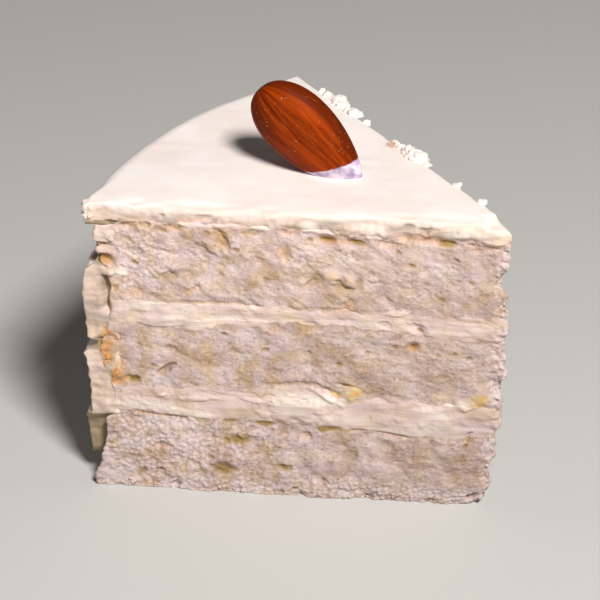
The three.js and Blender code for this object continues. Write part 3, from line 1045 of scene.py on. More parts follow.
class MeshTree(Tree):
    """A Geometry Nodes tree with named number inputs."""

    def __init__(self, name: str, numbers: dict[str, float]) -> None:
        """Starts the tree.

        Args:
            name: Name of the tree.
            numbers: Its named inputs and their values.
        """
        super().__init__(bpy.data.node_groups.new(name, "GeometryNodeTree"))
        for way in ("OUTPUT", "INPUT"):
            self.tree.interface.new_socket("Geometry", in_out=way, socket_type="NodeSocketGeometry")
        for label, value in numbers.items():
            socket = self.tree.interface.new_socket(label, in_out="INPUT", socket_type="NodeSocketFloat")
            socket.default_value = value
        self.given = self.tree.nodes.new("NodeGroupInput").outputs

    def close(self, mesh: Any, numbers: dict[str, Any], material: Material) -> NodeTree:
        """Lifts what is below the underside onto it, stores numbers and ends the tree.

        Args:
            mesh: The shaped mesh.
            numbers: Numbers to store on it, by name.
            material: Its finish.

        Returns:
            The tree.
        """
        add = self.add
        split = add(SPLIT, (add("GeometryNodeInputPosition"),), None).outputs
        level = add(JOIN, (split["X"], split["Y"], add(MATH, (split["Z"], 0.0), operation="MAXIMUM")))
        mesh = add("GeometryNodeSetPosition", {"Geometry": mesh, "Position": level})
        for name, value in numbers.items():
            inputs = {"Geometry": mesh, "Name": name, "Value": value}
            mesh = add("GeometryNodeStoreNamedAttribute", inputs, data_type="FLOAT", domain="POINT")
        mesh = add("GeometryNodeRealizeInstances", (mesh,))
        mesh = add("GeometryNodeSetMaterial", {"Geometry": mesh, "Material": material})
        add("NodeGroupOutput", (mesh,), None)
        return self.tree


def use_tree(piece: Object, tree: NodeTree, numbers: dict[str, float]) -> Object:
    """Runs a tree on a piece.

    Args:
        piece: The piece.
        tree: The tree.
        numbers: Values of its named inputs, which are set by each socket's identifier.

    Returns:
        The piece with the result as its plain mesh.
    """
    modifier = piece.modifiers.new(tree.name, "NODES")
    modifier.node_group = tree
    for item in tree.interface.items_tree:
        if item.in_out == "INPUT" and item.name in numbers:
            modifier[item.identifier] = numbers[item.name]
    return bake(piece)


@dataclass(frozen=True)
class CrumbRelief:
    """Torn foam: broad crags, clumps, level flakes drawn out by the knife, fluffy lumps and open bubbles."""

    crag: float = 4.2
    crag_depth: float = 0.3
    clump: float = 2.2
    clump_depth: float = 0.11
    flake: float = 1.5
    flake_depth: float = 0.065
    lump: float = 0.8
    lump_depth: float = 0.13
    grain: float = 0.5
    grain_depth: float = 0.03
    hole: float = 2.6
    hole_depth: float = 0.25
    pore: float = 1.0
    pore_depth: float = 0.14

    def tree(self, material: Material) -> NodeTree:
        """Builds the tree, whose named inputs are this class's sizes in millimetres.

        Args:
            material: Finish that it sets.

        Returns:
            The tree.
        """
        sizes = {label.replace("_", " ").title(): getattr(self, label) for label in self.__annotations__}
        crumb = MeshTree("crumb_relief", {**sizes, "Slant": 0.06})
        add, given = crumb.add, crumb.given
        kinds = {"pit": "FLOAT", "cut": "FLOAT", "fluff": "FLOAT", "out": "FLOAT_VECTOR"}
        stored = "GeometryNodeInputNamedAttribute"
        known = {name: add(stored, {"Name": name}, data_type=kind) for name, kind in kinds.items()}
        place = add("GeometryNodeInputPosition")
        split = add(SPLIT, (place,), None).outputs
        dragged = add(MATH, (split["Z"], add(MATH, (split["X"], given["Slant"]), **TIMES)))

        def drawn_out(times: float) -> Any:
            """Places for a pattern that is this many times as wide as tall."""
            return add(JOIN, (split["X"], split["Y"], add(MATH, (dragged, times), **TIMES)))

        def steered(label: str, vector: Any) -> dict[str, Any]:
            """Inputs of a pattern whose width is a named input of the tree."""
            return {"Vector": vector, "Scale": add(MATH, (1 / MM, given[label]), operation="DIVIDE")}

        def bumps(label: str, times: float, detail: float, warp: float) -> Any:
            """Noise around zero, as deep as the matching depth input."""
            inputs = {**steered(label, drawn_out(times)), "Detail": detail, "Distortion": warp}
            height = add(MATH, (add(NOISE, inputs), 0.5), **MINUS)
            depth = add(MATH, (given[f"{label} Depth"], 2 * MM), **TIMES)
            return add(MATH, (height, add(MATH, (depth, 2.0), **TIMES)), **TIMES)

        def domes(label: str, vector: Any, kind: str) -> Any:
            """Rounded lumps around zero, as deep as the matching depth input."""
            apart = add(CELLS, {**steered(label, vector), "Randomness": 1.0}, feature=kind)
            height = add(MATH, (0.42, add(MATH, (apart, 0.8), operation="MINIMUM")), **MINUS)
            depth = add(MATH, (given[f"{label} Depth"], 2 * MM), **TIMES)
            return add(MATH, (height, depth), **TIMES)

        def bowls(label: str, kept: float, rim: float) -> Any:
            """Open bubbles in this share of the cells, from 0 outside to 1 at the bottom."""
            inputs = {**steered(label, drawn_out(1.6)), "Randomness": 1.0}
            cells = add(CELLS, inputs, None, feature="F1").outputs
            bowl = add(RANGE, (cells["Distance"], 0.1, rim, 1.0, 0.0), interpolation_type="SMOOTHSTEP")
            chosen = add(MATH, (add(SPLIT, (cells["Color"],)), kept), operation="LESS_THAN")
            return add(MATH, (bowl, chosen), **TIMES)

        def fluffed(height: Any, least: float, more: float) -> Any:
            """Relief that grows with the fluff of the crumb."""
            fluff = add(MATH, (known["fluff"], more), **TIMES)
            return add(MATH, (height, add(MATH, (least, fluff))), **TIMES)

        crags = bumps("Crag", 1.2, 1.0, 0.3)
        clumps = domes("Clump", drawn_out(1.5), "SMOOTH_F1")
        flakes = bumps("Flake", 2.3, 1.5, 0.2)
        grain = fluffed(bumps("Grain", 1.6, 1.0, 0.0), 1.0, 2.2)
        lumps = fluffed(domes("Lump", place, "F1"), 0.35, 1.5)
        holes, pores = bowls("Hole", 0.14, 0.34), bowls("Pore", 0.3, 0.36)
        deep = [add(MATH, (given[f"{label} Depth"], MM), **TIMES) for label in ("Hole", "Pore")]
        sunk = [add(MATH, pair, **TIMES) for pair in zip((holes, pores), deep)]
        sunk = add(MATH, sunk)
        small = add(MATH, (add(MATH, (add(MATH, (flakes, lumps)), grain)), clumps))
        height = add(MATH, (add(MATH, (crags, small)), sunk), **MINUS)
        height = add(MATH, (height, known["cut"]), **TIMES)
        push = add(VECTOR_MATH, {0: known["out"], "Scale": height}, operation="SCALE")
        lift = add(MATH, (add(MATH, (flakes, known["cut"]), **TIMES), 0.35), **TIMES)
        offset = add(VECTOR_MATH, (push, add(JOIN, {"Z": lift})))
        moved = add("GeometryNodeSetPosition", {"Geometry": given["Geometry"], "Offset": offset})
        # The colour reads this relief to paint shade into the hollows.
        relief = add(MATH, (small, sunk), **MINUS)
        relief = add(MATH, (relief, 0.14 * MM), operation="DIVIDE")
        # Painted shade at the bottoms of open bubbles, joined to the pits' mask.
        bubble_shade = [add(MATH, pair, **TIMES) for pair in ((holes, 0.55), (pores, 0.45))]
        bubble_shade = add(MATH, (add(MATH, bubble_shade, operation="MAXIMUM"), known["cut"]), **TIMES)
        pit = add(MATH, (known["pit"], bubble_shade), operation="MAXIMUM")
        return crumb.close(moved, {"relief": relief, "pit": pit}, material)


@dataclass(frozen=True)
class LooseCrumbs:
    """Crumbs that cling to a surface, more of them where it stores a higher "shed"."""

    name: str = "loose_crumbs"
    density: float = 2.2e5
    smallest: float = 0.16
    largest: float = 0.5
    seed: int = 70
    lump: float = 0.5
    roughness: float = 0.9

    def scatter(self, host: Object, material: Material) -> Object:
        """Scatters the crumbs.

        Args:
            host: Piece with the stored attribute, which stays as it is.
            material: Finish of the crumbs.

        Returns:
            All crumbs as one mesh.
        """
        sizes = {"Density": self.density, "Smallest": self.smallest, "Largest": self.largest}
        tree = MeshTree(self.name, sizes)
        add, given = tree.add, tree.given

        def draw(number: int, low: Any, high: Any, vector: bool) -> Any:
            """Random number or vector for each crumb."""
            first, output, kind = (0, 0, "FLOAT_VECTOR") if vector else (2, 1, "FLOAT")
            inputs = {first: low, first + 1: high, "Seed": self.seed + number}
            return add("FunctionNodeRandomValue", inputs, output, data_type=kind)

        shed = add("GeometryNodeInputNamedAttribute", {"Name": "shed"}, data_type="FLOAT")
        density = add(MATH, (shed, given["Density"]), **TIMES)
        spots = {"Mesh": given["Geometry"], "Density": density, "Seed": self.seed}
        spots = add("GeometryNodeDistributePointsOnFaces", spots, distribute_method="RANDOM")
        crumb = add("GeometryNodeMeshIcoSphere", {"Radius": MM, "Subdivisions": 2})
        sized = draw(2, given["Smallest"], given["Largest"], False)
        uneven = draw(3, (0.7, 0.55, 0.5), (1.3, 1.0, 0.9), True)
        scale = add(VECTOR_MATH, {0: uneven, "Scale": sized}, operation="SCALE")
        turned = draw(1, (0.0, 0.0, 0.0), (math.tau, math.tau, math.tau), True)
        placed = {"Points": spots, "Instance": crumb, "Rotation": turned, "Scale": scale}
        whole = add("GeometryNodeRealizeInstances", (add("GeometryNodeInstanceOnPoints", placed),))
        bumps = add(NOISE, {"Scale": scale_of(self.lump), "Detail": 1.0}, "Color")
        centred = add(VECTOR_MATH, (bumps, (0.5, 0.5, 0.5)), **MINUS)
        rough = add(VECTOR_MATH, {0: centred, "Scale": self.roughness * MM}, operation="SCALE")
        moved = add("GeometryNodeSetPosition", {"Geometry": whole, "Offset": rough})
        piece = link(self.name, host.data.copy())
        return use_tree(piece, tree.close(moved, {"relief": 0.6}, material), sizes)


# ---- Sponges and fillings ----


@dataclass
class SeamLines:
    """Heights at which the layers meet, one array for each seam."""

    heights: dict[str, Array]

    @classmethod
    def read(cls, probe: SeamProbe, perimeter: Perimeter) -> "SeamLines":
        """Reads the seams and frays them as a knife does.

        Args:
            probe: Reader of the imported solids.
            perimeter: Stations of the layers.

        Returns:
            The seams, named after the layer below each.
        """
        level = perimeter.place(np.zeros(len(perimeter.reach)))
        heights = {"floor": np.zeros(len(perimeter.reach))}
        for number, node in enumerate(LAYERS):
            places = np.c_[level, np.full(len(level), 40.0 * number)]
            fray = 0.45 * soft_noise(places, 3.4, 3) + 0.38 * soft_noise(places, 1.3, 4)
            heights[node] = probe.top_of(node) + 0.15 + fray
        return cls(heights)


@dataclass
class Layer:
    """One layer of the cake between two seams."""

    node: str
    form: SliceForm
    perimeter: Perimeter
    lower: Array
    upper: Array
    seed: int = 1
    row_step: float = 0.2
    overlap: float = 0.4
    bedding: float = 0.7
    slant: float = 0.06
    gap: tuple[float, float, float] = (0.0, 1.0, 0.0)
    marked_arc: float = 5.0
    unevenness: float = 0.35
    mark_share: float = 0.65
    tuck: float = 0.35
    frayed_reach: float = 3.5
    rim_dive: float = 0.1
    crust_bands: tuple[tuple[float, float, float], ...] = (
        (21.5, 32.8, 1.2), (40.5, 42.5, 0.6), (45.6, 48.4, 0.9),
    )  # fmt: skip

    def shares(self) -> Array:
        """Share of the layer's height for each row of the wall, from the top down."""
        tall = float(np.max(self.upper - self.lower))
        return np.linspace(1, 0, max(3, round(tall / self.row_step)) + 1)

    def cream_share(self, points: Array, above: Array, below: Array) -> Array:
        """Share of cream against crumb on the cut.

        Args:
            points: Places in millimetres.
            above: Their distances from the upper seam.
            below: Their distances from the lower seam.

        Returns:
            0 for crumb to 1 for cream.
        """
        raise NotImplementedError

    def wall(self, points: Array, away: Array, cream: Array) -> Array:
        """How far each place of the wall stands out of the even cut, without its marks.

        Args:
            points: Places in millimetres.
            away: 0 at the seams to 1 away from them.
            cream: Share of cream against crumb.

        Returns:
            Distances in millimetres.
        """
        raise NotImplementedError

    def smoothness(self, points: Array) -> Array:
        """How much of the crumb's relief the cream hides."""
        return np.full(len(points), 0.6)

    def fluff(self, points: Array) -> Array:
        """How torn and fluffy the crumb is: most at the lower edge and towards the rim.

        Args:
            points: Places in millimetres.

        Returns:
            Shares from 0 to 1.
        """
        reach = self.perimeter.reach
        height = points[:, 2]
        low = np.maximum(falling(height, 1.5, 6), falling(reach, 1.5, 4))
        wander = reach + 9 * soft_noise(points, 9, 59)
        rim = smoothstep(wander, 34, 64) * falling(height, 13, 26)
        upper_rim = 0.6 * smoothstep(reach, 52, 68) * smoothstep(height, 38, 44)
        patches = 0.5 * smoothstep(soft_noise(points, 6, 44), 0.1, 0.8)
        most = np.maximum.reduce([low, rim, upper_rim, patches])
        return np.clip(most + 0.25 * soft_noise(points, 3, 45), 0, 1)

    def spread(self, height: Array) -> Array:
        """How much further out the rim stands at each height."""
        return np.zeros(len(height))

    def bulge(self, height: Array) -> Array:
        """How far the rim swells into a gap of the torn coat beside the front cut.

        Args:
            height: Height of each station.

        Returns:
            Distances in millimetres.
        """
        stations = self.perimeter
        low, high, size = self.gap
        band = between(height, low, high, 0.8)
        on_front = (stations.reach / self.form.layer_radius) ** 24
        beside = np.exp(-((stations.turn * self.form.layer_radius / 3.0) ** 2))
        near = np.where(stations.side == Side.FRONT.value, on_front, beside)
        return size * band * (near * (stations.side != Side.BACK.value))

    def rows(self) -> tuple[list[Array], list[Array]]:
        """Shapes the wall from the top down.

        Returns:
            The places of each row, and its masks in the columns that WALL_MASKS names.
        """
        form, stations = self.form, self.perimeter
        low, high = np.maximum(self.lower - self.overlap, 0), self.upper + self.overlap
        around = stations.turn * form.layer_radius
        on_arc = stations.side == Side.ARC.value
        along = stations.reach + np.where(on_arc, around, 0)
        side = np.where(on_arc & (around < self.marked_arc), Side.FRONT.value, stations.side)
        rows, masks = [], []
        for share in self.shares():
            height = low + (high - low) * share
            level = stations.place(form.tip_recess(height))
            points = np.c_[level, height]
            opened = np.maximum(self.open_wall(height), np.clip(self.bulge(height), 0, 1))
            ragged = self.bedding * (0.6 + soft_noise(points, 2.2, 46)) * smoothstep(stations.reach, 66, 71.4)
            rim = (stations.reach / form.layer_radius) ** 10 * self.spread(height) + self.bulge(height)
            level = level + stations.radial * (rim + ragged)[:, None]
            crust = self.crust(points)
            cream = np.clip(self.cream_share(points, high - height, height - low), 0, 1) * (1 - 0.9 * crust)
            marks = MarkedSurface.read(points, along, side, cream)
            below = np.where(low > 0, height - low, 2)
            away = self.edge_fade(high - height, below)
            even = self.unevenness * soft_noise(points, 8, 48)
            tucked = self.tuck * falling(np.minimum(high - height, below), 0, self.tuck)
            scraps = 0.4 * soft_noise(points, 1.4, 49) + 0.45 * soft_noise(points, 0.7, 56)
            frayed = falling(stations.reach, 0.8, self.frayed_reach) * scraps
            push = even + self.wall(points, away, cream) + self.mark_share * marks.rise - tucked + frayed
            push *= opened
            dive = self.rim_dive * smoothstep(stations.reach, 70.2, 71.4) * smoothstep(height, 5, 8)
            push -= dive * ~on_arc
            rows.append(np.c_[level + stations.out * push[:, None], height])
            seen = marks.masks
            seen["cut"] = opened * (0.3 + 0.7 * away) * (1 - self.smoothness(points) * seen["cream"])
            seen["toast"] = np.maximum(seen["toast"], crust)
            seen["fluff"] = self.fluff(points)
            masks.append(np.column_stack([seen[name] for name in WALL_MASKS]))
        return rows, masks

    def build(self) -> Object:
        """Builds the closed layer and stores its masks.

        Returns:
            The layer.
        """
        middle = self.form.middle
        rows, masks = self.rows()
        top_rings = self.cap_rings(rows[0], middle)
        low_rings = self.cap_rings(rows[-1], middle)
        rings = [*reversed(top_rings), *rows, *low_rings]
        ends = tuple(np.r_[middle, float(np.mean(edge[:, 2]))] for edge in (rows[0], rows[-1]))
        piece = ring_object(self.node, rings, ends)
        self.store_masks(piece, masks, len(top_rings), len(low_rings))
        return piece

    def crust(self, points: Array) -> Array:
        """Browned crust that shows round the outside near the front cut.

        Args:
            points: Places in millimetres.

        Returns:
            Its strength from 0 to 1.
        """
        reach, height = self.perimeter.reach, points[:, 2]
        outside = smoothstep(reach + 1.2 * soft_noise(points, 2.0, 47), 69.0, 71.2)
        near = falling(points[:, 1] - self.form.tip[1], 3, 8)
        bands = np.zeros(len(points))
        for low, high, level in self.crust_bands:
            bands = np.maximum(bands, level * between(height, low, high, 0.5))
        return np.clip(0.8 * outside * near * bands, 0, 1)

    def open_wall(self, height: Array) -> Array:
        """1 on the cuts, at every height, and 0 where the side icing lies against the layer."""
        covered = smoothstep(self.perimeter.reach, self.form.layer_radius - 0.5, self.form.layer_radius + 0.5)
        return np.where(self.perimeter.side == Side.ARC.value, 0, 1 - covered) * np.ones(len(height))

    @staticmethod
    def cap_rings(edge: Array, middle: Array) -> list[Array]:
        """Rings that close a wall's edge towards the middle.

        Args:
            edge: Highest or lowest row of the wall.
            middle: Level place that the rings close in on.

        Returns:
            The rings, the widest first.
        """
        flat = float(np.mean(edge[:, 2]))
        rings = []
        for share, level in ((0.9, 0.2), (0.55, 0.7)):
            places = middle + (edge[:, :2] - middle) * share
            rings.append(np.c_[places, edge[:, 2] * (1 - level) + flat * level])
        return rings

    def store_masks(self, piece: Object, masks: list[Array], above: int, below: int) -> None:
        """Stores the out direction and the masks of the wall.

        Args:
            piece: The layer.
            masks: For each row of the wall, the columns that WALL_MASKS names.
            above: Rings over the wall.
            below: Rings under it.
        """
        count = len(self.perimeter.reach)
        out = np.tile(np.c_[self.perimeter.out, np.zeros(count)], (above + len(masks) + below, 1))
        store(piece, "out", np.pad(out, ((1, 1), (0, 0))))
        stacked = np.pad(np.vstack(masks), ((1 + above * count, 1 + below * count), (0, 0)))
        for column, name in enumerate(WALL_MASKS):
            store(piece, name, stacked[:, column])

    def dress(self, tree: NodeTree) -> Object:
        """Builds the layer and gives it its crumb."""
        return use_tree(self.build(), tree, {"Slant": self.slant})

    @staticmethod
    def edge_fade(above: Array, below: Array) -> Array:
        """0 at both seams and 1 away from them, so that neighbours meet evenly."""
        return 0.3 + 0.7 * smoothstep(np.minimum(above, below), 0, 1.6)


@dataclass
class Sponge(Layer):
    """A layer of chiffon sponge with a torn crumb, and cream dragged over its edges."""

    flare: float = 0.0
    cream_below: bool = True

    def spread(self, height: Array) -> Array:
        """The bottom sponge spreads outwards under the lower rim of the side icing."""
        return self.flare * falling(height, 0.5, 12.5)

    def open_wall(self, height: Array) -> Array:
        """The bottom sponge also shows all round under the lower rim of the side icing."""
        bare = falling(height, 4.5, 6) * (self.flare > 0)
        return np.maximum(super().open_wall(height), bare)

    def cream_share(self, points: Array, above: Array, below: Array) -> Array:
        """Cream dragged over the edges in thin patches.

        Args:
            points: Places in millimetres.
            above: Their distances from the upper seam.
            below: Their distances from the lower seam.

        Returns:
            0 for crumb to 1 for cream.
        """
        near = np.minimum(above, below) if self.cream_below else above
        patches = layered_noise(points, 4.5, self.seed + 50, 3)
        edges = 0.85 * smoothstep(0.75 * patches - near / 2.2, -0.3, 0.25)
        rim = smoothstep(self.perimeter.reach + 1.3 * patches, 69, 71.5) * smoothstep(points[:, 2], 13, 18)
        return np.maximum(edges, 0.8 * rim)

    def wall(self, points: Array, away: Array, cream: Array) -> Array:
        """Broad unevenness, and a little more where cream lies on the crumb."""
        return 0.3 * soft_noise(points, 4, self.seed + 53) * away + 0.15 * cream


@dataclass
class Filling(Layer):
    """A layer of cream that the knife has smeared along the cut."""

    belly: float = 0.15

    def smoothness(self, points: Array) -> Array:
        """The knife has smoothed the lower filling most, away from the tip and the rim."""
        reach = self.perimeter.reach
        below_middle = falling(points[:, 2], 24, 26)
        return 0.35 + 0.55 * (smoothstep(reach, 5, 10) * falling(reach, 48, 58) * below_middle)

    def cream_share(self, points: Array, above: Array, below: Array) -> Array:
        """Crumbs stick to the cream near its edges, and more of them towards the rim.

        Args:
            points: Places in millimetres.
            above: Their distances from the upper seam.
            below: Their distances from the lower seam.

        Returns:
            0 for crumb to 1 for cream.
        """
        reach = self.perimeter.reach
        rim = 0.25 * smoothstep(reach, 44, 60) * falling(points[:, 2], 26, 32)
        patches = layered_noise(points, 3.2, self.seed + 60, 3)
        return 1 - 0.85 * smoothstep(0.75 * patches + rim - np.minimum(above, below) / 1.8, -0.1, 0.5)

    def wall(self, points: Array, away: Array, cream: Array) -> Array:
        """Soft folds, long streaks and a slight belly."""
        folds = 0.25 * layered_noise(points, 4.0, self.seed, 2)
        streaks = 0.1 * soft_noise(points, (6.0, 6.0, 0.8), self.seed + 3)
        return (folds + streaks + self.belly) * away


# ---- Icing ----


@dataclass
class Icing:
    """The coat of cream over the top and the curved outside, torn open by the cuts."""

    form: SliceForm
    layers: Perimeter
    seam: Array
    step: float = 0.26
    torn_heights: tuple[float, ...] = (
        6.5, 9, 12, 14.6, 15.2, 20, 25.5, 27.2, 28.1, 28.8, 29.6, 30.8, 31.4, 36, 39.5, 41,
        45.4, 46.4, 47.2, 48.4, 49.2, 49.9, 50.6, 52.5, 53.6, 54.1, 54.9, 55.4,
    )  # fmt: skip
    torn_outs: tuple[float, ...] = (
        0.9, 1.2, 1.4, 1.5, 0.2, 0.2, 0.4, 1.0, 1.5, 0.5, -1.3, -1.4, 0.3, 0.7, 0.6, 1.0,
        0.3, -1.2, -2.0, -1.9, -2.6, -2.7, -1.7, -1.5, -1.8, -2.9, -2.8, -0.2,
    )  # fmt: skip
    back_heights: tuple[float, ...] = (
        6, 13.6, 15.2, 27.8, 28.8, 30.4, 31.4, 45.0, 46.6, 50.2, 51.4, 53.4, 54.6, 55.4,
    )  # fmt: skip
    back_depths: tuple[float, ...] = (
        2.9, 2.4, 0.3, -0.1, 0.4, 0.8, -0.1, -0.1, 1.3, 1.5, 0.5, 0.6, 1.6, 0.0,
    )  # fmt: skip
    torn_length: float = 6.0
    mark_depth: float = 0.3
    tip_step: float = 1.0
    slant: float = 0.06
    lumps: tuple[tuple[float, float], ...] = (
        (67.2, 0.9), (64.6, 1.2), (62.6, 1.0), (60.8, 1.7), (59.0, 1.4), (56.6, 1.0),
        (54.6, 1.3), (50.2, 0.8), (40.6, 0.6), (39.2, 0.9), (37.8, 0.8), (36.4, 1.0),
        (34.6, 1.5), (32.4, 1.8), (30.6, 1.2), (29.0, 0.8), (18.8, 0.8), (10.6, 0.8),
    )  # fmt: skip
    corner_lumps: tuple[tuple[float, float, float, float], ...] = (
        (75.3, 1.2, 57.0, 1.2), (75.4, 0.9, 55.6, 1.1),
    )  # fmt: skip
    browned_crumb: tuple[float, float, float] = (39.4, 1.0, 1.3)
    shade_bands: tuple[tuple[float, float], ...] = (
        (5.0, 14.8), (28.9, 30.9), (49.0, 50.3), (53.8, 54.8), (46.2, 48.0),
    )  # fmt: skip
    crust_spots: tuple[tuple[float, float, float, float], ...] = (
        (72.4, 29.6, 1.8, 4.4), (70.9, 23.6, 1.6, 3.4), (72.3, 47.0, 1.7, 1.4), (71.4, 40.6, 1.0, 2.2),
    )  # fmt: skip
    row_step: float = 0.36
    tuck: float = 0.25
    mark_share: float = 0.6
    set_back_arc: float = 14.0
    section_reach: float = 69.0
    fluffiness: float = 0.4

    def top_height(self, level: Array) -> Array:
        """Shapes the spread top, with shallow waves and a step down at the broken tip.

        Args:
            level: Level places in millimetres.

        Returns:
            Their heights.
        """
        points = np.c_[level, np.zeros(len(level))]
        waves = self.mark_depth * soft_noise(points, 15, 2) + 0.05 * soft_noise(points, (9, 2.2, 1), 8)
        reach = self.form.reach_of(level)
        ragged = reach + 0.7 * soft_noise(points, 1.6, 9)
        from_front = level[:, 1] - self.form.tip[1]
        dents = np.clip(soft_noise(points, 3.4, 26) + 0.4, 0, 1) * falling(from_front, 0.3, 3.0)
        return self.form.top + waves - 0.6 * dents - self.tip_step * falling(ragged, 4.6, 5.4)

    def coat_offset(self, stations: Perimeter, height: float, level: Array) -> Array:
        """How far the coat stands past the plain radius at a height.

        Args:
            stations: Stations of the coat.
            height: Height of the row.
            level: Level places of the stations.

        Returns:
            Distances in millimetres.
        """
        points = np.c_[level, np.full(len(level), height)]
        torn = np.interp(height + 0.7 * soft_noise(points, 1.6, 27), self.torn_heights, self.torn_outs)
        torn = torn + (0.1 + 0.35 * (height > 14.5)) * soft_noise(points, 1.2, 12)
        from_cut = stations.turn * self.form.radius
        to_back = (self.form.angle - stations.turn) * self.form.radius
        near = np.exp(-((from_cut / self.torn_length) ** 2)) + np.exp(-((to_back / self.torn_length) ** 2))
        knife = soft_noise(points, (14, 14, 6), 13) + 0.5 * soft_noise(points, (9, 9, 1.6), 14)
        knife = self.mark_depth * knife
        on_arc = stations.side == Side.ARC.value
        on_cut = torn * (stations.reach / self.form.radius) ** 8
        return np.where(on_arc, torn * near + knife * (1 - near), on_cut)

    def set_back(self, stations: Perimeter, height: float, level: Array) -> Array:
        """Moves that take the torn section of the side icing back behind the cuts.

        Args:
            stations: Stations of the coat.
            height: Height of the row.
            level: Level places of the stations before the move.

        Returns:
            Level moves in millimetres, one row for each station.
        """
        points = np.c_[level, np.full(len(level), height)]
        depth = np.interp(height + 0.8 * soft_noise(points, 2.0, 28), self.back_heights, self.back_depths)
        depth = depth + 0.3 * soft_noise(points, 2.2, 15) + 0.12 * soft_noise(points, (3, 3, 0.8), 16)
        crevice = 1.6 * np.exp(-(((stations.reach - 71.8) / 0.9) ** 2)) * smoothstep(height, 35.5, 38)
        arc = stations.side == Side.ARC.value
        turned = np.where(arc, stations.turn, np.where(stations.side == Side.BACK.value, self.form.angle, 0))
        from_front = turned < self.form.angle / 2
        away = np.where(from_front, turned, self.form.angle - turned) * self.form.radius
        near_cut = np.clip(1 - away / self.set_back_arc, 0, 1)
        beyond = smoothstep(stations.reach, self.section_reach, self.section_reach + 1.5)
        share = np.where(arc, near_cut, beyond)
        amount = (depth + crevice * (height < 44) * (1 - arc)) * share
        inward = np.where(from_front, 1, -1)[:, None] * np.c_[np.sin(turned), np.cos(turned)]
        return inward * amount[:, None]

    def block(self) -> Object:
        """Builds the whole outer form, before the layers are cut out of it.

        Returns:
            The form, closed below at the skirt's rim.
        """
        form = self.form
        stations = Perimeter(form, form.radius, self.step, 0.6)
        edge = stations.place(np.full(len(stations.reach), 0.5))
        middle = form.middle
        arc = stations.side == Side.ARC.value
        from_corner = np.minimum(stations.turn, form.angle - stations.turn) * form.radius
        widened = (form.rim_rounding - form.cut_rounding) * smoothstep(from_corner, 0, 9)
        ragged = 0.45 * layered_noise(np.c_[edge, np.zeros(len(edge))], 3.0, 18, 2)
        rounding = np.where(arc, form.cut_rounding + widened, np.clip(form.cut_rounding + ragged, 0.5, 1.8))
        rings = []
        to_middle = middle - edge
        to_middle /= np.linalg.norm(to_middle, axis=1)[:, None]
        rim = edge + to_middle * rounding[:, None]
        for share in 1 - np.linspace(1, 0, 26)[1:-1] ** 1.6:
            level = middle + (rim - middle) * share
            rings.append(np.c_[level, self.top_height(level)])
        for turn in np.radians((0, 22, 45, 68, 90)):
            level = edge + to_middle * (rounding * (1 - math.sin(turn)))[:, None]
            ring = np.c_[level, self.top_height(level) - rounding * (1 - math.cos(turn))]
            rings.append(self.relieve(stations, ring, math.sin(turn)))
        highest = form.top - form.rim_rounding - 0.8
        heights = [*np.arange(highest, form.skirt_rim, -self.row_step), form.skirt_rim]
        top_row = rings[-1]
        for height in np.arange(form.top - 0.9, heights[0] + 0.1, -0.3):
            share = (top_row[:, 2] - height) / (top_row[:, 2] - heights[0])
            lowered = top_row[:, 2] - np.clip(share, 0.01, 0.99) * (top_row[:, 2] - heights[0])
            rings.append(self.relieve(stations, np.c_[edge, lowered]))
        for height in heights:
            radial = stations.radial * self.coat_offset(stations, height, edge)[:, None]
            level = edge + radial + self.set_back(stations, height, edge)
            points = np.c_[level, np.full(len(level), height)]
            if height == form.skirt_rim:
                beside_front = np.exp(-((stations.turn * form.radius / 6) ** 2))
                points[:, 2] += 0.7 * soft_noise(points, 5.0, 17) - 1.1 * beside_front
            rings.append(self.relieve(stations, points))
        ends = (np.r_[middle, float(self.top_height(middle[None])[0])], np.r_[middle, form.skirt_rim])
        return ring_object("icing", rings, ends)

    def relieve(self, stations: Perimeter, points: Array, share: float = 1.0) -> Array:
        """Adds the cuts' soft dents and marks, and a knob at the front corner, to one row.

        Args:
            stations: Stations of the coat.
            points: Places of the row in millimetres.
            share: How much of the dents it takes.

        Returns:
            The moved places.
        """
        marks = MarkedSurface.read(points, stations.reach, stations.side, np.ones(len(points)))
        on_cut = stations.side != Side.ARC.value
        above_seam = points[:, 2] - self.seam_beside(stations)
        inside = falling(stations.reach, self.section_reach, self.section_reach + 2)
        tucked = self.tuck * falling(above_seam, -0.2, 1.8) * inside
        dents = 0.3 * layered_noise(points, 3.2, 21, 3) + 0.12 * soft_noise(points, 0.9, 57)
        soft = dents + self.mark_share * marks.rise - tucked
        push = np.where(on_cut, soft * falling(stations.reach, 74.5, 76.2), 0)
        near_corner = np.exp(-(((stations.reach - self.form.radius) / 3) ** 2))
        near_corner = near_corner * np.exp(-stations.turn * self.form.radius / 5)
        knob = 0.7 * near_corner * smoothstep(points[:, 2], 54, 55) * falling(points[:, 2], 57.4, 58.4)
        moved = points.copy()
        moved[:, :2] += stations.out * push[:, None] * share
        lumpy = knob * share * (0.2 + layered_noise(points, 1.7, 24, 2))
        moved[:, :2] += stations.radial * lumpy[:, None]
        return moved

    def seam_beside(self, stations: Perimeter) -> Array:
        """Finds the layers' upper seam beside each of the coat's own stations.

        Args:
            stations: Stations of the coat.

        Returns:
            Heights in millimetres.
        """
        heights = np.full(len(stations.reach), float(self.seam.mean()))
        for side in (Side.FRONT, Side.BACK):
            own = self.layers.side == side.value
            order = np.argsort(self.layers.reach[own])
            here = stations.side == side.value
            known = self.layers.reach[own][order], self.seam[own][order]
            heights[here] = np.interp(stations.reach[here], *known)
        return heights

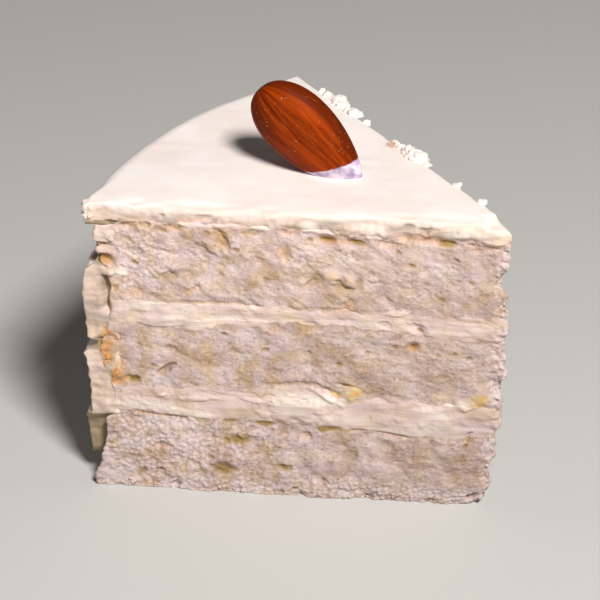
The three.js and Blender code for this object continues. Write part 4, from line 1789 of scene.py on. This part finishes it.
    def core(self) -> Object:
        """Builds what the coat lies on.

        Returns:
            The layers as one form, widened past both cuts.
        """
        form, layers = self.form, self.layers
        past_cut = 6.0
        level = layers.place(np.full(len(layers.reach), form.tip_rounding))
        from_cut = np.minimum(layers.turn, form.angle - layers.turn) * form.radius
        coat = form.layer_gap - 1.3 * falling(from_cut, 2, 6)
        middle = form.middle
        arc = layers.side == Side.ARC.value
        beyond = level + layers.out * np.where(arc, coat, past_cut)[:, None]
        beyond += layers.radial * np.where(arc, 0, coat)[:, None]
        edge = np.c_[level, self.seam]
        rings = [*reversed(Layer.cap_rings(edge, middle)), edge, np.c_[beyond, self.seam]]
        rings.append(np.c_[beyond, np.full(len(beyond), -past_cut)])
        ends = (np.r_[middle, float(self.seam.mean())], np.r_[middle, -past_cut])
        return ring_object("core", rings, ends)

    def lump(self, place: Array, radius: float, number: int) -> Object:
        """One ragged lump of cream and crumb that the knife has left on an edge.

        Args:
            place: Its middle in millimetres.
            radius: Its usual radius.
            number: Seed of its shape.

        Returns:
            The lump.
        """
        ball = bpy.data.meshes.new("lump")
        shape = bmesh.new()
        bmesh.ops.create_icosphere(shape, subdivisions=4, radius=radius * MM)
        shape.to_mesh(ball)
        shape.free()
        points = read_points(ball) / MM
        rough = 1 + 0.45 * soft_noise(points, 0.8 * radius, number)
        rough = rough + 0.22 * soft_noise(points, 0.45, number + 30)
        points = points * rough[:, None] * np.array([1.05, 1.2, 0.75]) + place
        ball.vertices.foreach_set("co", (points * MM).astype(np.float32).ravel())
        ball.update()
        return link("lump", ball)

    def lump_places(self) -> list[tuple[Array, float]]:
        """Middle and radius of each lump, on the back cut's upper edge and at the front corner."""
        form, places = self.form, []
        for reach, radius in self.lumps:
            level = np.array(form.tip) + form.back_along * reach + form.back_out * 0.2 * radius
            places.append((np.r_[level, form.top - 0.35], radius))
        return places + [(form.photo_place(*place), radius) for *place, radius in self.corner_lumps]

    def dress(self, tree: NodeTree) -> Object:
        """Builds the coat, with crumbs dragged into its cut face.

        Args:
            tree: Crumb relief that also sets the finish.

        Returns:
            The coat.
        """
        piece = combine(self.block(), self.core(), "DIFFERENCE")
        for number, (place, radius) in enumerate(self.lump_places()):
            combine(piece, self.lump(place, radius, number), "UNION")
        self.store_masks(piece)
        return use_tree(piece, tree, {"Slant": self.slant})

    def find_sides(self, piece: Object, points: Array, reach: Array) -> Array:
        """Tells which faces a knife has cut.

        Args:
            piece: The coat.
            points: Its places in millimetres.
            reach: Their distances from the tip.

        Returns:
            The side of each place, as the values of Side, where the arc stands for all that is uncut.
        """
        form = self.form
        offset = points[:, :2] - np.array(form.tip)
        turn = np.arctan2(offset[:, 1], -offset[:, 0])
        back_gap = reach * np.sin(form.angle - turn)
        flat = np.empty(len(points) * 3, np.float32)
        piece.data.vertex_normals.foreach_get("vector", flat)
        facing = flat.reshape(-1, 3)
        torn = (reach > self.section_reach) & (points[:, 2] < form.top - form.rim_rounding)
        front = (offset[:, 1] < 1.8) | (torn & (offset[:, 1] < 9) & (-facing[:, 1] > 0.4))
        back = (back_gap < 1.8) | (torn & (back_gap < 9) & (facing @ np.r_[form.back_out, 0] > 0.4))
        return np.where(front, Side.FRONT.value, np.where(back, Side.BACK.value, Side.ARC.value))

    def store_masks(self, piece: Object) -> None:
        """Stores what the relief and the finish read.

        Args:
            piece: The coat.
        """
        form = self.form
        points = read_points(piece.data) / MM
        height = points[:, 2]
        reach = form.reach_of(points)
        side = self.find_sides(piece, points, reach)
        below_rim = (reach > self.section_reach) & (height < form.top - form.rim_rounding)
        on_cut = (side != Side.ARC.value) * falling(height, form.top - 0.7, form.top + 0.1)
        on_cut = on_cut * falling(reach - np.where(below_rim, 78.0, 75.2), 0, 1)
        crust = self.crust_section(points, reach)
        patches = smoothstep((height - 55.2) / 1.1 + layered_noise(points, 3.0, 25, 3), -0.3, 0.3)
        cream = np.where(reach > 70, 1, patches) * (1 - 0.95 * crust)
        marks = MarkedSurface.read(points, reach, side, cream).masks
        # Towards the top, the cut keeps half of the top's white colour as painted light.
        bare = falling(height + 0.9 * soft_noise(points, 2.4, 58), 55.2, 58.0)
        # Painted shade on the torn side coat, which faces away from the key light.
        side_coat_shade = 0.2 * smoothstep(reach, 70.5, 72.5) * (height < 54.5)
        shaded = np.maximum(marks["pit"], self.shaded_section(points, reach))
        browned = self.browned_weight(points)
        masks = {
            "cut": on_cut * (1 - 0.8 * marks["cream"]),
            "section": self.towards(np.clip(on_cut * (0.5 + 0.5 * bare), 0, 1), 0.8, browned),
            "cream": self.towards(marks["cream"], 0.0, browned),
            "fluff": np.full(len(points), self.fluffiness),
            "pit": on_cut * np.maximum(shaded, side_coat_shade),
            "gleam": on_cut * marks["gleam"],
            "toast": self.towards(on_cut * np.maximum(marks["toast"], crust), 0.5, browned),
        }
        store(piece, "out", np.array([[0, -1, 0], [0, 0, 0], [*form.back_out, 0]])[side])
        for name, values in masks.items():
            store(piece, name, values)

    @staticmethod
    def towards(values: Array, level: float, weight: Array) -> Array:
        """Blends numbers towards a level."""
        known = values.astype(np.float32)
        return known + (level - known) * weight

    def browned_weight(self, points: Array) -> Array:
        """1 in a browned crumb on the back cut's upper edge and 0 outside it."""
        form = self.form
        reach, inset, size = self.browned_crumb
        place = np.array(form.tip) + reach * form.back_along - inset * form.back_out
        away = np.linalg.norm(points - np.r_[place, form.top], axis=1) + 0.5 * soft_noise(points, 0.9, 60)
        return falling(away, 0.5 * size, 1.2 * size)

    def shaded_section(self, points: Array, reach: Array) -> Array:
        """Olive shade in the hollows of the torn side icing.

        Args:
            points: Places in millimetres.
            reach: Their distances from the tip.

        Returns:
            Its strength from 0 to 1.
        """
        height = points[:, 2]
        near_cut = falling(points[:, 1] - self.form.tip[1], 6, 9)
        gaps = np.zeros(len(points))
        for low, high in self.shade_bands:
            gaps = np.maximum(gaps, smoothstep(height, low - 0.4, low) * falling(height, high, high + 0.4))
        hollow = np.exp(-(((reach - 73) / 1.3) ** 2 + ((height - 42.3) / 1.6) ** 2))
        return np.maximum(gaps, hollow) * near_cut * smoothstep(reach, 70, 71.5)

    def crust_section(self, points: Array, reach: Array) -> Array:
        """Browned crust that shows where the side icing has come away.

        Args:
            points: Places in millimetres.
            reach: Their distances from the tip.

        Returns:
            Its strength from 0 to 1.
        """
        wobble = 0.35 * soft_noise(points, 1.5, 23)
        near_cut = falling(points[:, 1] - self.form.tip[1], 2, 5)
        total = np.zeros(len(points))
        for centre_reach, centre_height, wide, tall in self.crust_spots:
            away = np.hypot((reach - centre_reach) / wide, (points[:, 2] - centre_height) / tall) + wobble
            total = np.maximum(total, falling(away, 0.5, 1.15))
        return total * near_cut


# ---- Almond ----


@dataclass
class Almond:
    """A whole almond in its skin, stuck in the icing by its point."""

    form: SliceForm
    length: float = 25.6
    width: float = 14.0
    thickness: float = 8.3
    bluntness: float = 0.71
    fullness: float = 0.58
    reach: float = 28.7
    depth: float = 16.9
    height: float = 56.2
    heading: float = math.radians(178.5)
    lift: float = math.radians(44.9)
    roll: float = math.radians(-103.5)
    ridge_depth: float = 0.07
    stretch: float = 3.0
    around: int = 200
    along: int = 190

    def frame(self) -> tuple[Array, Array]:
        """Turn and place of the nut; its X runs from the point to the blunt end."""
        turn = np.array(Euler((self.roll, -self.lift, self.heading), "XYZ").to_matrix())
        return turn, self.form.photo_place(self.reach, self.depth, self.height)

    def girth(self, share: Array) -> Array:
        """Half width along the nut as a share of the widest."""
        scan = np.linspace(0, 1, 400)[1:-1]
        widest = (np.sin(math.pi * scan**self.bluntness) ** self.fullness).max()
        return np.clip(np.sin(math.pi * share**self.bluntness), 0, 1) ** self.fullness / widest

    def dress(self, material: Material) -> Object:
        """Builds the ridged nut and stores what its skin needs.

        Args:
            material: The skin.

        Returns:
            The nut.
        """
        turn, place = self.frame()
        share = (1 - np.cos(math.pi * np.linspace(0, 1, self.along + 1)[1:-1])) / 2
        angle = math.tau * np.arange(self.around) / self.around
        grid_share, grid_angle = np.meshgrid(share, angle, indexing="ij")
        across, up = np.cos(grid_angle), np.sin(grid_angle)
        places = np.c_[(across * 2).ravel(), (up * 2).ravel(), (grid_share * self.stretch).ravel()]
        wander = soft_noise(places, 1.0, 3).reshape(grid_share.shape)
        ridges = 0.7 * np.cos(13 * grid_angle + 4.5 * wander) + 0.7 * np.cos(23 * grid_angle - 6.0 * wander)
        girth = self.girth(grid_share)
        ridges = 0.6 * ridges * np.clip(girth, 0, 1)
        half_width = girth * self.width / 2 + self.ridge_depth * ridges
        half_thick = girth * self.thickness / 2 + self.ridge_depth * ridges
        local = np.stack([(1 - grid_share) * self.length, across * half_width, up * half_thick], -1)
        blunt_end, point = np.array([self.length, 0.0, 0.0]) @ turn.T + place, np.zeros(3) @ turn.T + place
        piece = ring_object("almond", [row @ turn.T + place for row in local], (blunt_end, point))
        half = (across * self.width / 2, up * self.thickness / 2)
        stretched = np.stack([*half, grid_share * self.stretch], -1)
        stretched = np.vstack([np.zeros(3), stretched.reshape(-1, 3), [0.0, 0.0, self.stretch]])
        store(piece, "along", stretched * MM)
        store(piece, "relief", np.pad(ridges.ravel(), 1))
        store(piece, "rim", np.pad(smoothstep(np.abs(across), 0.82, 1.0).ravel(), 1))
        points = read_points(piece.data) / MM
        line = self.form.top + 0.35 + 0.36 * np.clip(points[:, 0] - (self.form.tip[0] - 38.5), 0, 12)
        in_front = smoothstep(-(points[:, 1] - (self.form.tip[1] + self.depth)), -2.0, 0.0)
        line = self.form.top + (line - self.form.top) * in_front
        store(piece, "film", falling(points[:, 2] - line + 0.15 * soft_noise(points, 0.8, 4), -0.1, 0.15))
        piece.data.materials.append(material)
        return piece


# ---- Studio ----


@dataclass(frozen=True)
class Studio:
    """Pale floor, one soft key light from the right front, and the photograph's view."""

    form: SliceForm
    focal_pixels: float = 2600.0
    sensor: float = 36.0
    camera_from_tip: tuple[float, float, float] = (11.71, -404.89, 259.02)
    camera_pitch: float = math.radians(28.09)
    camera_yaw: float = math.radians(6.94)
    light_azimuth: float = math.radians(-62.5)
    light_height: float = math.radians(47.5)
    light_distance: float = 0.9
    light_size: float = 0.2
    light_power: float = 10.4
    fill_azimuth: float = math.radians(118)
    fill_height: float = math.radians(9)
    fill_distance: float = 1.2
    fill_size: float = 0.9
    fill_power: float = 1.6
    lamp_aim: float = 0.03
    air: float = 0.042
    floor_half: float = 1.5

    def place_camera(self) -> None:
        """Puts the camera where the photograph was taken from."""
        data = bpy.data.cameras.new("camera")
        data.sensor_width = self.sensor
        data.lens = self.focal_pixels / PHOTO_WIDTH * self.sensor
        data.clip_start = 0.01
        camera = link("camera", data)
        tip = np.array([*self.form.tip, 0.0])
        camera.location = (tip + np.array(self.camera_from_tip)) * MM
        camera.rotation_euler = (math.pi / 2 - self.camera_pitch, 0, self.camera_yaw)
        bpy.context.scene.camera = camera

    def place_lamp(
        self, name: str, power: float, size: float, distance: float, turn: tuple[float, float]
    ) -> None:
        """Puts up one round lamp that shines on the slice.

        Args:
            name: Name of the lamp.
            power: Its power in watts.
            size: Its width in metres.
            distance: How far from the slice it stands, in metres.
            turn: Its azimuth and its height as angles.
        """
        data = bpy.data.lights.new(name, "AREA")
        data.shape = "DISK"
        data.size = size
        data.energy = power
        data.color = (1.0, 0.975, 0.94)
        lamp = link(name, data)
        azimuth, height = turn
        level = math.cos(height)
        towards = Vector((level * math.cos(azimuth), level * math.sin(azimuth), math.sin(height)))
        lamp.location = towards * distance + Vector((0, 0, self.lamp_aim))
        lamp.rotation_euler = towards.to_track_quat("Z", "Y").to_euler()

    def place_light(self) -> None:
        """Puts up the key light, a weak low lamp behind the slice and the even light of the room."""
        key = (self.light_azimuth, self.light_height)
        self.place_lamp("key", self.light_power, self.light_size, self.light_distance, key)
        fill = (self.fill_azimuth, self.fill_height)
        self.place_lamp("fill", self.fill_power, self.fill_size, self.fill_distance, fill)
        world = bpy.data.worlds.new("room")
        world.use_nodes = True
        background = world.node_tree.nodes["Background"]
        background.inputs["Color"].default_value = (1.0, 0.98, 0.95, 1.0)
        background.inputs["Strength"].default_value = self.air
        bpy.context.scene.world = world

    def lay_floor(self, material: Material) -> None:
        """Lays the floor that the slice stands on.

        Args:
            material: Its paint.
        """
        half = self.floor_half
        mesh = bpy.data.meshes.new("floor")
        corners = [(-half, -half, 0), (half, -half, 0), (half, half, 0), (-half, half, 0)]
        mesh.from_pydata(corners, [], [(0, 1, 2, 3)])
        mesh.materials.append(material)
        link("floor", mesh)

    def set_up(self) -> None:
        """Sets up the whole studio."""
        self.place_camera()
        self.place_light()
        self.lay_floor(StudioPaint().material())
        bpy.context.scene.view_settings.view_transform = "Standard"


# ---- The slice ----


def hand_over(piece: Object, slot: str, nodes: Sequence[str] = ()) -> None:
    """Attaches a piece to its body, hides the nodes that it replaces, and logs it.

    Args:
        piece: The piece.
        slot: Not used.
        nodes: Nodes that it replaces.
    """
    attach(piece, BODY)
    if nodes:
        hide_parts(*nodes)
    LOG.info("%s: %d faces", piece.name, len(piece.data.polygons))


def store_shed(piece: Object, form: SliceForm) -> None:
    """Stores where crumbs cling to the lowest sponge: low down and round the tip.

    Args:
        piece: The sponge.
        form: Sizes of the slice.
    """
    points = read_points(piece.data) / MM
    low = falling(points[:, 2], 0.5, 2.5)
    near_tip = falling(form.reach_of(points), 1, 3)
    store(piece, "shed", read(piece, "cut") * np.clip(0.8 * low + 0.25 * near_tip, 0, 1))


def build_layers(frame: dict[str, Any], form: SliceForm) -> tuple[Object, Perimeter, SeamLines]:
    """Builds the sponges and fillings.

    Args:
        form: Sizes of the slice.

    Returns:
        The lowest sponge, the stations of the layers and their seams.
    """
    stations = Perimeter(form, form.layer_radius, 0.2, 0.4)
    seams = SeamLines.read(SeamProbe(frame, form, stations), stations)
    relief = CrumbRelief()
    crumb = relief.tree(CutCake("baked_chiffon_crumb").material())
    cream = relief.tree(CutCake("whipped_cream_filling").material())
    heights = seams.heights
    gaps = {
        "sponge_bottom": (-2.0, 15.2, 2.0),
        "sponge_middle": (24.5, 32.4, 2.0),
        "sponge_top": (46.4, 54.8, 2.3),
    }
    dressed = []
    for seed, (below, node) in enumerate(zip(("floor", *LAYERS), LAYERS), 1):
        parts = (node, form, stations, heights[below], heights[node], seed)
        if node.startswith("filling"):
            piece, slot = Filling(*parts).dress(cream), "cream_filling"
        else:
            on_floor = below == "floor"
            spread = {"flare": 1.4 if on_floor else 0.0, "slant": 0.3 if node == "sponge_top" else 0.06}
            sponge = Sponge(*parts, gap=gaps[node], cream_below=not on_floor, **spread)
            piece, slot = sponge.dress(crumb), "sponge"
        hand_over(piece, slot, (node,))
        dressed.append(piece)
    return dressed[0], stations, seams


def main() -> None:
    """Builds the slice piece by piece around its frame."""
    logging.basicConfig(level=logging.INFO, format="%(name)s %(message)s")
    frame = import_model()
    form = SliceForm()
    Studio(form).set_up()

    lowest, stations, seams = build_layers(frame, form)
    coat = CrumbRelief().tree(CreamIcing().material())
    icing = Icing(form, stations, seams.heights["sponge_top"]).dress(coat)
    hand_over(icing, "icing", ("icing",))
    almond = Almond(form).dress(AlmondSkin().material())
    hand_over(almond, "almond_skin", ("almond",))

    store_shed(lowest, form)
    crumbs = LooseCrumbs().scatter(lowest, CutCake("loose_chiffon_crumbs").material())
    hand_over(crumbs, "sponge")


if __name__ == "__main__":
    main()
